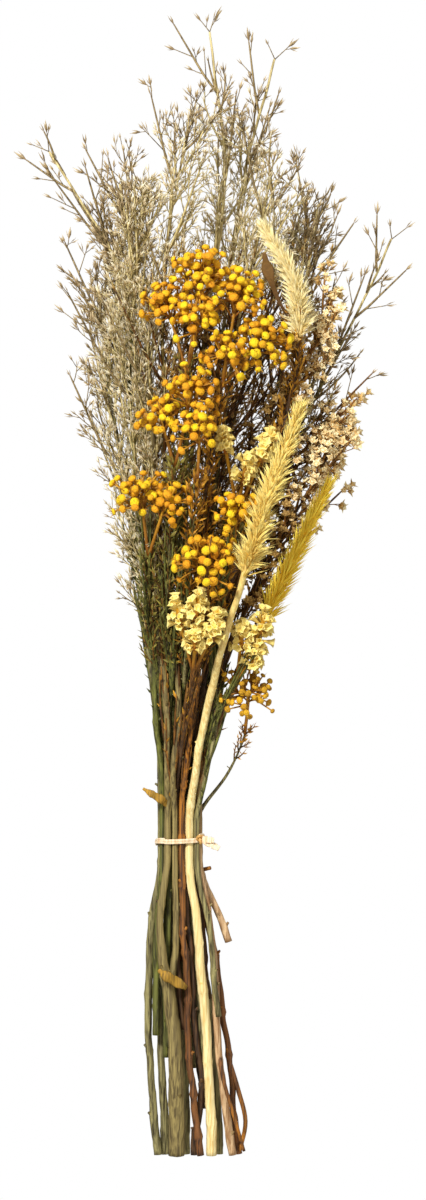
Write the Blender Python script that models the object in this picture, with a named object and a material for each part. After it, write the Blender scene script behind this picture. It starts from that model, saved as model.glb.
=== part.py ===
"""A dried flower bouquet, about 60 cm long, lying on a table.

Each flowering stem is one solid, from its cut foot, through the tie, to its head. The model is
written in millimetres in bunch coordinates: x to the right, y from the tie towards the flowers,
z up from the table. At the end it is turned into metres and set on the origin.
"""

import math
import random

import bmesh
import bpy
import numpy as np
from mathutils import Matrix

# Driving dimensions, in millimetres
FOOT_Y = -166.5  # the level cut across the feet
TIE_Z = 24.0  # height of the bundle's middle at the tie
WAIST = 8.0  # half the length over which the stems run straight through the tie
STEM_GAP = 0.3  # clear distance between stems that lie against each other
STRAIGHT = 0.1  # how far off a straight line a stem's ring may be left out
TWIG_GAP = 0.35  # clear distance between the twigs of two plants
FORK_LEVEL = 2  # where a foot divides into two stems, as a place in LEVELS
HEAD_ROOM = 4.5  # how far the stems keep from the middle of a spike's head
SETTLE_STEPS = 900  # rounds of pushing the stems apart
SMOOTH_SHARE = 0.7  # the share of those rounds that also smooth the stems
PACK_STEPS = 900  # rounds of pressing the stems together in the tie
PRESS_STEPS = 500  # the first of them draw the stems in, by this factor a round
PRESS_FACTOR = 0.997
HEAD_TAPER = 0.68  # the share of a stem's thickness that it loses up to its head
FOOT_FLARE = 0.18  # the share that it gains down to its foot
BAND_WIDTH = 3.4  # the raffia strip round the waist
BAND_THICKNESS = 1.0
BAND_STEPS = 28
KNOT_STEP = 5  # the knot's place among the band's steps, counted from the right round to the front
TAILS = ((9.0, -0.55, 0.1), (6.5, -0.1, 0.3))  # each tail's length, and how it rises along y and z
SEED = 7

# The heights at which a stem may bend, and how the bundle spreads out on the first four of them and
# above the tie: y, middle x, middle z, spread in x, spread in z
LEVELS = np.array([FOOT_Y, -126, -86, -46, -WAIST, WAIST, 36, 68, 106, 148, 194, 242, 292, 344, 394, 434])
SPREAD = (
    (FOOT_Y, 10.5, 9.5, 2.25, 0.80),
    (-126.0, 6.0, 14.0, 2.05, 0.95),
    (-86.0, 3.3, 17.6, 1.80, 1.05),
    (-46.0, 1.8, 21.2, 1.50, 1.10),
    (60.0, 3.8, 31.0, 1.60, 1.65),
)

# The full middle of the bouquet is an ellipse in x and y. Past it the sprays are short and sparse.
FULL_MIDDLE = np.array([16.0, 225.0])
FULL_SIZE = np.array([66.0, 160.0])
SPARSEST = 0.25  # the share that is left at the furthest tips
BRANCH_LEAN = (22, 38)  # degrees between a branch and its stem
TWIG_LEAN = (26, 42)  # degrees between a twig and its branch
CROWN_START = 34.0  # how far above the first point that it passes a spray's stem begins to branch
STALK_RADIUS = 0.5  # of a button's own stalk
LEAF_THICKNESS = 0.8  # of the dried leaves and the raffia's tails
LONGEST_SEED, LEAST_SEED = 1.0, 0.44  # the seeds' reach round a spike, as shares of seed_length
STATICE_SIDES, STATICE_ROWS = 6, 3  # the cells of a papery head's core; every other one is a cup
STATICE_CORE = 0.34  # the core's radius, as a share of the head's
TIP_REACH = 8.0  # how far a spike's stem runs on into its head

GOLDEN_ANGLE = math.radians(137.5)
UP = np.array([0.0, 0.0, 1.0])
MM = 0.001

# Every plant: its place in the tie (x, z from the bundle's middle), its stem's radius there, and the
# points that its stem passes above the tie. A stem may have its own x on the four levels below the tie
# (below, from the foot up), or be cut off higher than the others (cut). A plant with fork_of shares the
# foot of another one, which is a trunk of its own radius there.
SEA_LAVENDER = {
    "sea_lavender_1": dict(slot=(-10.5, -2.5), radius=1.9, below=(-7.0, -9.0, -9.5, -10.5),
        via=((-14, 126, 30), (-20, 225, 32), (-31, 300, 38), (-68, 360, 42))),
    "sea_lavender_2": dict(slot=(-4.5, 7.5), radius=1.9, trunk=4.3, below=(-1.5, -2.0, -4.8, -10.5),
        via=((-10, 126, 50), (-14, 230, 62), (-22, 296, 64), (-31, 342, 60))),
    "sea_lavender_3": dict(slot=(0.0, -5.0), radius=1.8, twigs=2, below=(4.0, 3.0, 2.0, 1.0),
        via=((1, 126, 30), (12, 257, 42), (24, 345, 48), (16, 422, 50))),
    "sea_lavender_4": dict(slot=(4.0, -7.0), radius=1.9, twigs=2, cut=-121,
        via=((9, 126, 27), (22, 257, 32), (35, 352, 40), (50, 408, 46))),
    "sea_lavender_5": dict(slot=(5.0, -3.0), radius=1.6, twigs=2, cut=-97,
        via=((13, 126, 38), (29, 257, 52), (40, 310, 60), (51, 345, 64))),
    "sea_lavender_6": dict(slot=(-1.0, 8.0), radius=1.7, fork_of="sea_lavender_2",
        via=((-5, 126, 50), (-8, 257, 62), (-6, 320, 64), (4, 362, 64))),
    "sea_lavender_7": dict(slot=(-11.0, 2.0), radius=1.8, below=(-11.0, -15.0, -16.0, -14.5),
        via=((-17, 105, 36), (-29, 188, 38), (-37, 242, 36), (-40, 290, 34))),
    "sea_lavender_8": dict(slot=(-8.0, 5.5), radius=1.8, twigs=2, cut=-103,
        via=((-13, 115, 46), (-23, 204, 54), (-25, 264, 58), (-18, 326, 62))),
    "sea_lavender_9": dict(slot=(9.0, -5.0), radius=1.7, below=(21.5, 19.0, 15.5, 10.5), twigs=2,
        via=((22, 126, 26), (46, 220, 28), (63, 280, 32), (73, 333, 38))),
    "sea_lavender_10": dict(slot=(11.0, -1.5), radius=1.7, twigs=2, cut=-92,
        via=((26, 126, 36), (59, 209, 40), (87, 262, 44), (111, 314, 50))),
    "sea_lavender_11": dict(slot=(-4.0, -8.5), radius=1.6, twigs=2, cut=-88,
        via=((-8, 126, 20), (-17, 215, 15), (-27, 280, 12), (-42, 326, 12))),
    "sea_lavender_12": dict(slot=(1.0, -9.0), radius=1.6, twigs=2, cut=-72,
        via=((8, 126, 17), (28, 215, 14), (44, 272, 12), (58, 305, 12))),
}
BEIGE_SPRAYS = {
    "beige_spray_1": dict(slot=(7.5, -6.5), radius=1.6, cut=-112,
        via=((20, 112, 34), (47, 178, 42), (73, 212, 46), (92, 230, 48))),
    "beige_spray_2": dict(slot=(4.0, -0.5), radius=1.6, twigs=2, cut=-64,
        via=((16, 118, 44), (40, 192, 56), (62, 240, 62), (80, 282, 64))),
    "beige_spray_3": dict(slot=(10.5, 2.0), radius=1.5, cut=-84,
        via=((28, 105, 46), (54, 160, 52), (70, 188, 56), (80, 205, 58))),
}
SPIKES = {
    "cream_spike_1": dict(slot=(7.0, -2.5), radius=1.7, width=7.6, core=2.2, rings=11, seed_length=10.5,
        lean=42, taper=0.5, cut=-142,
        via=((20, 118, 52), (45, 188, 66), (62, 250, 76)),
        head=((63, 262, 78), (60, 290, 82), (44, 318, 84))),
    "cream_spike_2": dict(slot=(9.5, 8.0), radius=2.3, width=8.2, core=2.5, rings=14, seed_length=11.0,
        lean=42, taper=0.45, below=(17.3, 15.6, 13.0, 9.6),
        via=((13, 58, 47), (24, 105, 76), (33, 132, 92)),
        head=((34, 138, 94), (47, 180, 104), (63, 224, 106))),
    "golden_spike": dict(slot=(12.5, 4.0), radius=1.8, width=5.6, core=2.0, rings=11, seed_length=10.0,
        lean=26, taper=0.5, below=(28.5, 22.0, 19.0, 16.5),
        via=((25, 66, 40), (36, 94, 46), (42, 110, 52)),
        head=((44, 114, 54), (59, 146, 63), (77, 184, 70))),
}
BUTTONS = {
    "button_flower_1": dict(slot=(-2.5, 4.5), radius=1.5, cut=-109,
        via=((0, 126, 62), (4, 215, 78), (5, 246, 82)),
        heads=(((12, 300, 92), 14, 14, 2.6), ((-7, 282, 86), 9, 8, 2.6), ((11, 273, 96), 10, 8, 2.6))),
    "button_flower_2": dict(slot=(3.2, 3.6), radius=1.5, below=(8.0, 12.0, 7.5, 5.5),
        via=((9, 126, 64), (17, 200, 78), (23, 236, 82)),
        heads=(((31, 289, 92), 12, 11, 2.6), ((46, 263, 96), 13, 12, 2.6), ((25, 255, 98), 9, 6, 2.6))),
    "button_flower_3": dict(slot=(-5.0, 1.0), radius=1.4, cut=-79,
        via=((-7, 110, 60), (-4, 165, 78), (-2, 196, 84)),
        heads=(((8, 238, 96), 9, 8, 2.6), ((-10, 222, 92), 10, 7, 2.6))),
    "button_flower_4": dict(slot=(0.0, 1.5), radius=1.4, cut=-101,
        via=((2, 105, 62), (6, 160, 82), (9, 186, 90)),
        heads=(((11, 216, 98), 8, 7, 2.6),)),
    "button_flower_5": dict(slot=(-7.0, 1.5), radius=1.4, cut=-115,
        via=((-11, 90, 52), (-15, 130, 66), (-15, 152, 72)),
        heads=(((-20, 184, 82), 12, 11, 2.6), ((-6, 178, 88), 8, 5, 2.6))),
    "button_flower_6": dict(slot=(3.5, 8.8), radius=1.6, below=(12.0, 6.0, 4.5, 2.5),
        via=((9, 80, 56), (12, 108, 64), (14, 126, 78)),
        heads=(((16, 149, 94), 14, 13, 2.6),)),
    "button_flower_7": dict(slot=(4.6, 1.2), radius=1.4, cut=-75,
        via=((16, 108, 58), (25, 142, 70), (28, 150, 74)),
        heads=(((31, 174, 84), 9, 8, 2.6),)),
    "button_flower_8": dict(slot=(12.5, 1.5), radius=1.2, cut=-52,
        via=((24, 44, 50), (31, 56, 54)),
        heads=(((37, 80, 58), 12, 8, 2.0),)),
}
STATICE = {
    "cream_statice_1": dict(slot=(0.5, 4.5), radius=1.5, cut=-100,
        via=((4, 60, 52), (6, 80, 62), (7, 88, 68)),
        heads=(((1, 113, 84), (-1, 122, 87), 5.6), ((9, 116, 86), (10, 125, 89), 5.8),
            ((8, 101, 82), (9, 109, 85), 5.4), ((18, 106, 86), (20, 115, 89), 5.8))),
    "cream_statice_2": dict(slot=(8.0, 2.0), radius=1.5, cut=-133,
        via=((22, 62, 50), (30, 78, 58), (33, 84, 62)),
        heads=(((33, 101, 70), (32, 110, 74), 6.0), ((42, 106, 72), (44, 116, 76), 6.2),
            ((38, 92, 68), (40, 99, 71), 5.6))),
    "cream_statice_3": dict(slot=(11.0, 7.5), radius=1.4, cut=-93,
        via=((18, 118, 50), (27, 156, 56), (31, 172, 62)),
        heads=(((33, 187, 78), (35, 196, 81), 5.6), ((43, 199, 80), (46, 208, 83), 5.8),
            ((24, 203, 82), (23, 211, 85), 5.2))),
}
BARE_STEMS = {
    "bare_stem_short": dict(slot=(12.5, -1.5), radius=1.9, below=(0, 0, 36, 23.5), cut=-54,
        via=((19, 66, 28), (22, 84, 28))),
    "bare_stem_long": dict(slot=(11.5, -4.0), radius=1.5, below=(31.5, 27.0, 22.5, 15.5),
        via=((20, 62, 22), (24, 92, 22))),
}
PLANTS = {**SPIKES, **STATICE, **BUTTONS, **SEA_LAVENDER, **BEIGE_SPRAYS, **BARE_STEMS}
HABITS = (
    (SEA_LAVENDER, dict(ending="spikelet", twig_length=17.0, branch_length=46.0, branches=5)),
    (BEIGE_SPRAYS, dict(ending="floret", twig_length=9.0, branch_length=34.0, branches=5)),
)
# How far along a twig's length its rings stand, and their radii: it ends in a bud or a floret
END_SHAPES = {
    "spikelet": dict(along=(0.0, 0.66, 1.0), radii=(0.42, 0.95, 0.0)),
    "floret": dict(along=(0.0, 0.6, 1.0), radii=(0.42, 0.7, 2.3)),
}
# Dried leaves and side shoots: the stem, the kind, its y, offsets from there, and half-widths
OFFCUTS = (
    ("cream_spike_1", "leaf", 268, ((-7, 10, 5), (-11, 19, 9), (-14, 28, 12), (-16, 37, 14)),
        (0.7, 0.7, 1.0, 2.4, 0.7)),
    ("button_flower_6", "leaf", -78, ((-1, 1, 6), (-6, 4, 8), (-11, 7, 9), (-15, 10, 7)),
        (0.9, 1.2, 2.2, 2.0, 0.6)),
    ("sea_lavender_2", "leaf", 18, ((-3, 3, 4), (-8, 6, 5), (-13, 9, 3)), (1.0, 1.7, 1.5, 0.5)),
    ("bare_stem_long", "shoot", -116, ((5, -16, 0), (9, -33, -1), (6, -49, -2)), (1.3, 1.3, 1.2, 1.1)),
    ("golden_spike", "shoot", -112, ((2, -14, 3), (9, -38, 3), (13, -52, 1)), (1.2, 1.2, 1.1, 0.8)),
    ("bare_stem_short", "shoot", -16, ((4, 1, 2),), (1.1, 1.0)),
)
# The place in LEVELS of the lowest level that each cut stem still reaches
LOWEST_BEND = {n: int((LEVELS < p["cut"]).sum()) - 1 for n, p in PLANTS.items() if "cut" in p}


def unit(vector):
    return vector / np.linalg.norm(vector)


def across(direction):
    """Two unit vectors square to direction and to each other."""
    helper = UP if abs(direction[2]) < 0.9 else np.array([1.0, 0.0, 0.0])
    side = unit(np.cross(direction, helper))
    return side, np.cross(side, direction)


def turned(direction, lean, around):
    """The unit vector that leans off direction by lean, towards the side that the angle around gives."""
    side, over = across(direction)
    outwards = math.cos(around) * side + math.sin(around) * over
    return math.cos(lean) * direction + math.sin(lean) * outwards


def curve_through(knots, values):
    """A smooth curve through the knots (y rising, x, z), read at the given y values.

    Each stretch is a cubic whose end slopes are the mean of the slopes beside it. At the two ends
    of the tie the slope is nought, so that the stems run parallel there.
    """
    knots = np.asarray(knots, float)
    y, places = knots[:, 1], knots[:, [0, 2]]
    steps = np.diff(places, axis=0) / np.diff(y)[:, None]
    slopes = np.vstack([steps[:1], (steps[1:] + steps[:-1]) / 2, steps[-1:]])
    slopes[np.abs(np.abs(y) - WAIST) < 1e-6] = 0.0
    k = np.clip(np.searchsorted(y, values, side="right") - 1, 0, len(y) - 2)
    span = (y[k + 1] - y[k])[:, None]
    t = (values - y[k])[:, None] / span
    found = (
        (2 * t**3 - 3 * t**2 + 1) * places[k]
        + (t**3 - 2 * t**2 + t) * span * slopes[k]
        + (3 * t**2 - 2 * t**3) * places[k + 1]
        + (t**3 - t**2) * span * slopes[k + 1]
    )
    return np.column_stack([found[:, 0], values, found[:, 1]])


def bend(start, direction, length, towards, steps):
    """A shoot that leaves start along direction and bends a little towards another direction."""
    points = [np.asarray(start, float)]
    for k in range(steps):
        heading = unit(direction + towards * (0.5 * (k + 0.5) / steps))
        points.append(points[-1] + heading * length / steps)
    return np.array(points)


def segment_gaps(a0, a1, b0, b1):
    """The distance from each segment a to each segment b, as a table."""
    da, db, apart = (a1 - a0)[:, None], (b1 - b0)[None], a0[:, None] - b0[None]
    aa, bb, ab = (da * da).sum(-1) + 1e-9, (db * db).sum(-1) + 1e-9, (da * db).sum(-1)
    ca, cb = (da * apart).sum(-1), (db * apart).sum(-1)
    s = np.clip((ab * cb - ca * bb) / np.maximum(aa * bb - ab * ab, 1e-9), 0, 1)
    t = np.clip((ab * s + cb) / bb, 0, 1)
    s = np.clip((ab * t - ca) / aa, 0, 1)
    return np.linalg.norm(apart + s[..., None] * da - t[..., None] * db, axis=-1)


class Bunch:
    """Everything that has grown: each node's shapes, and the capsules of space that they fill."""

    def __init__(self):
        self.nodes = {}
        self.starts = np.zeros((0, 3))
        self.ends = np.zeros((0, 3))
        self.radii = np.zeros(0)
        self.owners = np.zeros(0, int)

    def is_clear(self, node, points, radii, gap=TWIG_GAP):
        """Whether a tube through points keeps the gap to every other node and stays above the table."""
        points, radii = np.asarray(points, float), np.asarray(radii, float)
        if (points[:, 2] < radii * 0.98).any():
            return False
        reach = radii.max() + gap
        low, high = points.min(0) - reach, points.max(0) + reach
        near = (
            (np.minimum(self.starts, self.ends) - self.radii[:, None] < high).all(1)
            & (np.maximum(self.starts, self.ends) + self.radii[:, None] > low).all(1)
            & (self.owners != self.number(node))
        )
        if not near.any():
            return True
        gaps = segment_gaps(points[:-1], points[1:], self.starts[near], self.ends[near])
        own = np.maximum(radii[:-1], radii[1:])[:, None]
        return bool((gaps - own - self.radii[near][None] > gap).all())

    def number(self, node):
        return list(self.nodes).index(node) if node in self.nodes else len(self.nodes)

    def add(self, node, kind, points, radii):
        points, radii = np.asarray(points, float), np.asarray(radii, float)
        self.nodes.setdefault(node, []).append((kind, points, radii))
        self.starts = np.vstack([self.starts, points[:-1]])
        self.ends = np.vstack([self.ends, points[1:]])
        self.radii = np.append(self.radii, np.maximum(radii[:-1], radii[1:]))
        self.owners = np.append(self.owners, np.full(len(points) - 1, self.number(node)))


def packed_slots(plants):
    """Where each stem lies in the tie, once the stems are pressed together without touching."""
    names = list(plants)
    places = np.array([plants[n]["slot"] for n in names], float)
    radii = np.array([plants[n]["radius"] for n in names])
    least = radii[:, None] + radii[None] + STEM_GAP
    np.fill_diagonal(least, 0.0)
    for step in range(PACK_STEPS):
        if step < PRESS_STEPS:
            places *= PRESS_FACTOR
        offset = places[:, None] - places[None]
        distance = np.maximum(np.linalg.norm(offset, axis=-1), 1e-6)
        push = np.maximum(least - distance, 0.0) * 0.5
        places = places + (offset / distance[..., None] * push[..., None]).sum(1) * 0.7
    return dict(zip(names, places))


def spread_at(row, slot):
    """Where a stem of the given slot lies on one of SPREAD's levels."""
    y, middle_x, middle_z, wide, high = row
    return (middle_x + wide * slot[0], y, middle_z + high * slot[1])


def wanted_line(name, plants, slots):
    """Where a stem would run if it were alone: its place on each of LEVELS, with its last point."""
    plant = plants[name]
    slot = slots[name]
    low = np.array([spread_at(row, slot) for row in SPREAD[:4]])
    low[:, 0] = plant.get("below", low[:, 0])
    low = low[LOWEST_BEND.get(name, 0):]
    if "fork_of" in plant:
        low = np.vstack([wanted_line(plant["fork_of"], plants, slots)[0][FORK_LEVEL], low[-1]])
    waist = [(slot[0], -WAIST, TIE_Z + slot[1]), (slot[0], WAIST, TIE_Z + slot[1])]
    high = [*plant["via"], *plant.get("head", ())]
    if high[0][1] > 75:
        high = [spread_at(SPREAD[4], slot), *high]
    knots = np.array([*low, *waist, *high], float)
    top = knots[-1, 1]
    here = (LEVELS > low[0][1] - 4) & (LEVELS < top + 0.5)
    last = np.flatnonzero(here)[-1]
    line = curve_through(knots, np.clip(LEVELS, knots[0, 1], top))
    if top > LEVELS[last] + 6:
        here[last + 1] = True
        grown = (LEVELS[last + 1] - LEVELS[last]) / (top - LEVELS[last])
        line[last + 1] = line[last] + (line[last + 1] - line[last]) * grown
    line[:, 1] = LEVELS
    return line, here, top


def stem_radii(plant, line, top):
    """A stem's radius on each level: a little thicker at the foot, thin at the head."""
    tall = np.clip((line[:, 1] - WAIST) / (top - WAIST), 0, 1)
    short = np.clip((-WAIST - line[:, 1]) / (-WAIST - FOOT_Y), 0, 1)
    radii = plant["radius"] * (1 - plant.get("taper", HEAD_TAPER) * tall + FOOT_FLARE * short)
    if "trunk" in plant:
        trunk = np.interp(line[:, 1], LEVELS[1:4], (plant["trunk"], plant["trunk"] * 0.8, 0))
        radii = np.maximum(radii, trunk)
    return radii


def heads_in_the_way(plants, names):
    """The room that each papery head and button cluster takes up, on each stretch that it reaches.

    Every row is (owner, stretch, where it begins and ends on the stretch, middle, radius).
    """
    rooms = []
    for name, plant in plants.items():
        heads = []
        if name in STATICE:
            heads = [(np.add(low, high) / 2, size, size * 1.2) for low, high, size in plant["heads"]]
        if name in BUTTONS:
            heads = [(np.array(at), spread * 0.6, spread * 0.5) for at, spread, _, _ in plant["heads"]]
        for middle, size, reach in heads:
            for k in range(len(LEVELS) - 1):
                span = LEVELS[k + 1] - LEVELS[k]
                start, end = np.clip((middle[1] + np.array([-reach, reach]) - LEVELS[k]) / span, 0, 1)
                if end > start:
                    rooms.append((names.index(name), k, start, end, middle[0], middle[2], size))
    return np.array(rooms)


def pushed_by_stems(places, wide, first, second, both):
    """The shift that frees each pair of stems, on every stretch that both of them pass.

    Both move at the place where they come closest, which is shared out to the stretch's two ends.
    """
    slopes = np.diff(places, axis=1) / np.diff(LEVELS)[None, :, None]
    slant = np.sqrt(1 + (slopes**2).sum(-1))
    start = places[first][:, :-1] - places[second][:, :-1]
    change = places[first][:, 1:] - places[second][:, 1:] - start
    t = np.clip(-(start * change).sum(-1) / ((change**2).sum(-1) + 1e-9), 0, 1)
    nearest = start + t[..., None] * change
    distance = np.maximum(np.linalg.norm(nearest, axis=-1), 1e-3)
    size = (wide[:, :-1] + wide[:, 1:]) / 2
    least = (size[first] + size[second]) * np.maximum(slant[first], slant[second]) + STEM_GAP * 1.3
    lack = np.where(both, np.maximum(least - distance, 0), 0)
    push = nearest / distance[..., None] * lack[..., None] * 0.45
    shift = np.zeros_like(places)
    for stems, way in ((first, 1), (second, -1)):
        np.add.at(shift[:, :-1], stems, way * push * (1 - t)[..., None])
        np.add.at(shift[:, 1:], stems, way * push * t[..., None])
    return shift


def pushed_by_heads(places, radii, rooms, exposed):
    """The shift that takes the stems out of the heads' rooms, on the stretches that those reach."""
    stretch = rooms[:, 1].astype(int)
    start = places[:, stretch] - rooms[:, 4:6]
    change = places[:, stretch + 1] - places[:, stretch]
    t = -(start * change).sum(-1) / ((change**2).sum(-1) + 1e-9)
    t = np.clip(t, rooms[:, 2], rooms[:, 3])
    nearest = start + t[..., None] * change
    distance = np.maximum(np.linalg.norm(nearest, axis=-1), 1e-3)
    lack = np.where(exposed, np.maximum(rooms[:, 6] + radii[:, stretch] + STEM_GAP - distance, 0), 0)
    push = nearest / distance[..., None] * lack[..., None] * 0.5
    shift = np.zeros_like(places)
    for k in range(len(rooms)):
        shift[:, stretch[k]] += push[:, k] * (1 - t[:, k])[:, None]
        shift[:, stretch[k] + 1] += push[:, k] * t[:, k][:, None]
    return shift


def trimmed(plant, points, radii, top):
    """A settled stem, ended at its top, or inside its spike's head, and at its cut foot."""
    if "head" in plant:
        top = plant["head"][0][1] + TIP_REACH
        last = np.searchsorted(points[:, 1], top)
        points, radii = points[: last + 1], radii[: last + 1]
    if points[-1, 1] > top:
        t = (top - points[-2, 1]) / (points[-1, 1] - points[-2, 1])
        points[-1] = points[-2] + (points[-1] - points[-2]) * t
    if "cut" in plant:
        t = (plant["cut"] - points[1, 1]) / (points[0, 1] - points[1, 1])
        points[0] = points[1] + (points[0] - points[1]) * t
    return points, radii


def settle_stems(plants, slots):
    """Lets all the stems press each other aside until none touches, and returns their lines.

    Each round pushes apart what is too close. Each stem's shift from its wanted line is then
    smoothed along it, so that it bends gently. In the tie the stems stay in their places.
    """
    names = list(plants)
    drawn = [wanted_line(name, plants, slots) for name in names]
    wanted = np.array([line[:, [0, 2]] for line, _, _ in drawn])
    here = np.array([h for _, h, _ in drawn])
    radii = np.array([stem_radii(plants[n], d[0], d[2]) for n, d in zip(names, drawn)])
    wide = radii.copy()
    for i, name in enumerate(names):
        if "head" in plants[name]:
            wide[i, LEVELS >= plants[name]["head"][0][1] - 2] = HEAD_ROOM
    roots = np.array([plants[n].get("fork_of", n) for n in names])
    first, second = np.triu_indices(len(names), 1)
    apart = roots[first] != roots[second]
    first, second = first[apart], second[apart]
    passed = here[:, :-1] & here[:, 1:]
    both = passed[first] & passed[second]
    rooms = heads_in_the_way(plants, names)
    exposed = passed[:, rooms[:, 1].astype(int)] & (roots[:, None] != roots[rooms[:, 0].astype(int)][None])
    in_tie = np.abs(np.abs(LEVELS) - WAIST) < 1e-6
    places = wanted.copy()
    for step in range(SETTLE_STEPS):
        shift = pushed_by_stems(places, wide, first, second, both)
        shift += pushed_by_heads(places, radii, rooms, exposed)
        moved = places + shift - wanted
        if step < SETTLE_STEPS * SMOOTH_SHARE:
            moved[:, 1:-1] = 0.7 * moved[:, 1:-1] + 0.15 * (moved[:, :-2] + moved[:, 2:])
            moved *= 0.985
        places = wanted + moved
        places[:, in_tie] = wanted[:, in_tie]
        places[..., 1] = np.maximum(places[..., 1], radii * 1.02)
    lines = {}
    for i, name in enumerate(names):
        points = np.column_stack([places[i, :, 0], LEVELS, places[i, :, 1]])[here[i]]
        lines[name] = trimmed(plants[name], points, radii[i, here[i]], drawn[i][2])
    return lines


def fullness(places):
    """How full the bouquet is at the places: 1 in its middle, falling off past the ellipse."""
    off = (np.asarray(places)[..., :2] - FULL_MIDDLE) / FULL_SIZE
    return np.clip(2.2 - 1.5 * np.linalg.norm(off, axis=-1), SPARSEST, 1.0)


def grow_spray(bunch, node, crown, habit, rng):
    """Side branches up the crown, each with twigs on alternate sides; all end in a bud or a floret."""
    lengths = np.r_[0, np.cumsum(np.linalg.norm(np.diff(crown, axis=0), axis=1))]
    for k in range(habit["branches"]):
        t = (k + 0.3) / habit["branches"]
        base = np.array([np.interp(t * lengths[-1], lengths, crown[:, i]) for i in range(3)])
        ahead = np.array([np.interp(t * lengths[-1] + 3, lengths, crown[:, i]) for i in range(3)])
        axis = unit(ahead - base)
        full = float(fullness(base))
        length = habit["branch_length"] * (1.1 - 0.4 * t) * (0.2 + 0.8 * full) * rng.uniform(0.85, 1.15)
        twig_length = habit["twig_length"] * (0.5 + 0.5 * full)
        around = k * GOLDEN_ANGLE + rng.uniform(-0.4, 0.4)
        for attempt in range(10):
            direction = turned(axis, math.radians(rng.uniform(*BRANCH_LEAN)), around + attempt * 0.7)
            branch = bend(base, direction, length * (1 - 0.05 * attempt), axis, 2)
            branch = grow_tipped(bunch, node, branch, habit, rng)
            if branch is not None:
                grow_twigs(bunch, node, branch, dict(habit, twig_length=twig_length), rng)
                break
    for around in (0.3, 0.3 + math.pi):
        last = dict(habit, twig_length=habit["twig_length"] * 0.6)
        twig_from(bunch, node, crown[-1], unit(crown[-1] - crown[-2]), around, last, rng)


def grow_tipped(bunch, node, branch, habit, rng):
    """Adds a branch that carries on into its own last bud or floret, if there is room for it.

    It returns the branch's line as it lies, or None.
    """
    ending = END_SHAPES[habit["ending"]]
    onwards = unit(branch[-1] - branch[-2])
    length = habit["twig_length"] * rng.uniform(0.8, 1.1)
    points = np.vstack([branch, branch[-1] + np.outer(ending["along"][1:], onwards) * length])
    radii = np.r_[np.linspace(0.8, 0.5, len(branch)), ending["radii"][1:]]
    points[1:, 2] = np.maximum(points[1:, 2], np.maximum(radii[1:], 0.5))
    if not bunch.is_clear(node, points, radii):
        return None
    bunch.add(node, habit["ending"], points, radii)
    return points[: len(branch)]


def grow_twigs(bunch, node, branch, habit, rng):
    """Twigs on alternate sides of a branch, from near its middle to near its end."""
    for k in range(habit["twigs"]):
        t = 0.4 + 0.5 * k / max(habit["twigs"] - 1, 1)
        index = t * (len(branch) - 1)
        low = min(int(index), len(branch) - 2)
        base = branch[low] + (branch[low + 1] - branch[low]) * (index - low)
        axis = unit(branch[low + 1] - branch[low])
        twig_from(bunch, node, base, axis, k * math.pi + rng.uniform(-0.7, 0.7), habit, rng)


def twig_from(bunch, node, base, axis, around, habit, rng):
    """One twig with its bud or floret, turned on round its parent until it finds room."""
    ending = END_SHAPES[habit["ending"]]
    for attempt in range(7):
        direction = turned(axis, math.radians(rng.uniform(*TWIG_LEAN)), around + attempt * 0.9)
        length = habit["twig_length"] * rng.uniform(0.8, 1.2)
        points = base + np.outer(ending["along"], direction) * length
        radii = np.array(ending["radii"])
        points[1:, 2] = np.maximum(points[1:, 2], np.maximum(radii[1:], 0.5))
        if bunch.is_clear(node, points, radii):
            bunch.add(node, habit["ending"], points, radii)
            return


def grow_spike(bunch, node, plant):
    """A feathery head: its line from base to tip, and how thick its slim core is on each step."""
    path = np.asarray(plant["head"], float)
    steps = np.linspace(0, 1, plant["rings"] + 1)
    spine = curve_through(path, path[0, 1] + steps * (path[-1, 1] - path[0, 1]))
    shape = np.sin(np.pi * np.clip(0.14 + 0.80 * steps, 0, 1)) ** 0.7
    bunch.nodes[node].append(("spike", spine, plant["core"] * shape))
    bunch.add(node, "room", spine, plant["width"] * shape)


def grow_statice(bunch, node, start, low, high, size):
    """A papery head, raised until it is clear of the stems near it, and the branch that carries it."""
    low, high = np.asarray(low, float), np.asarray(high, float)
    steps = np.linspace(-0.2, 1.2, 5)
    for lift in range(0, 40, 2):
        spine = low + np.outer(steps, high - low) + UP * lift
        link = np.array([start, spine[2]])
        reach = size * np.sin(np.pi * np.linspace(0.2, 0.8, 5)) ** 0.5
        if bunch.is_clear(node, spine, reach) and bunch.is_clear(node, link, [0.9, 0.9]):
            bunch.nodes[node].append(("statice", spine, np.full(5, size)))
            bunch.add(node, "room", spine, reach)
            bunch.add(node, "branch", link, [0.9, 0.9])
            return
    print("no room for a statice head of", node)


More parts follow.
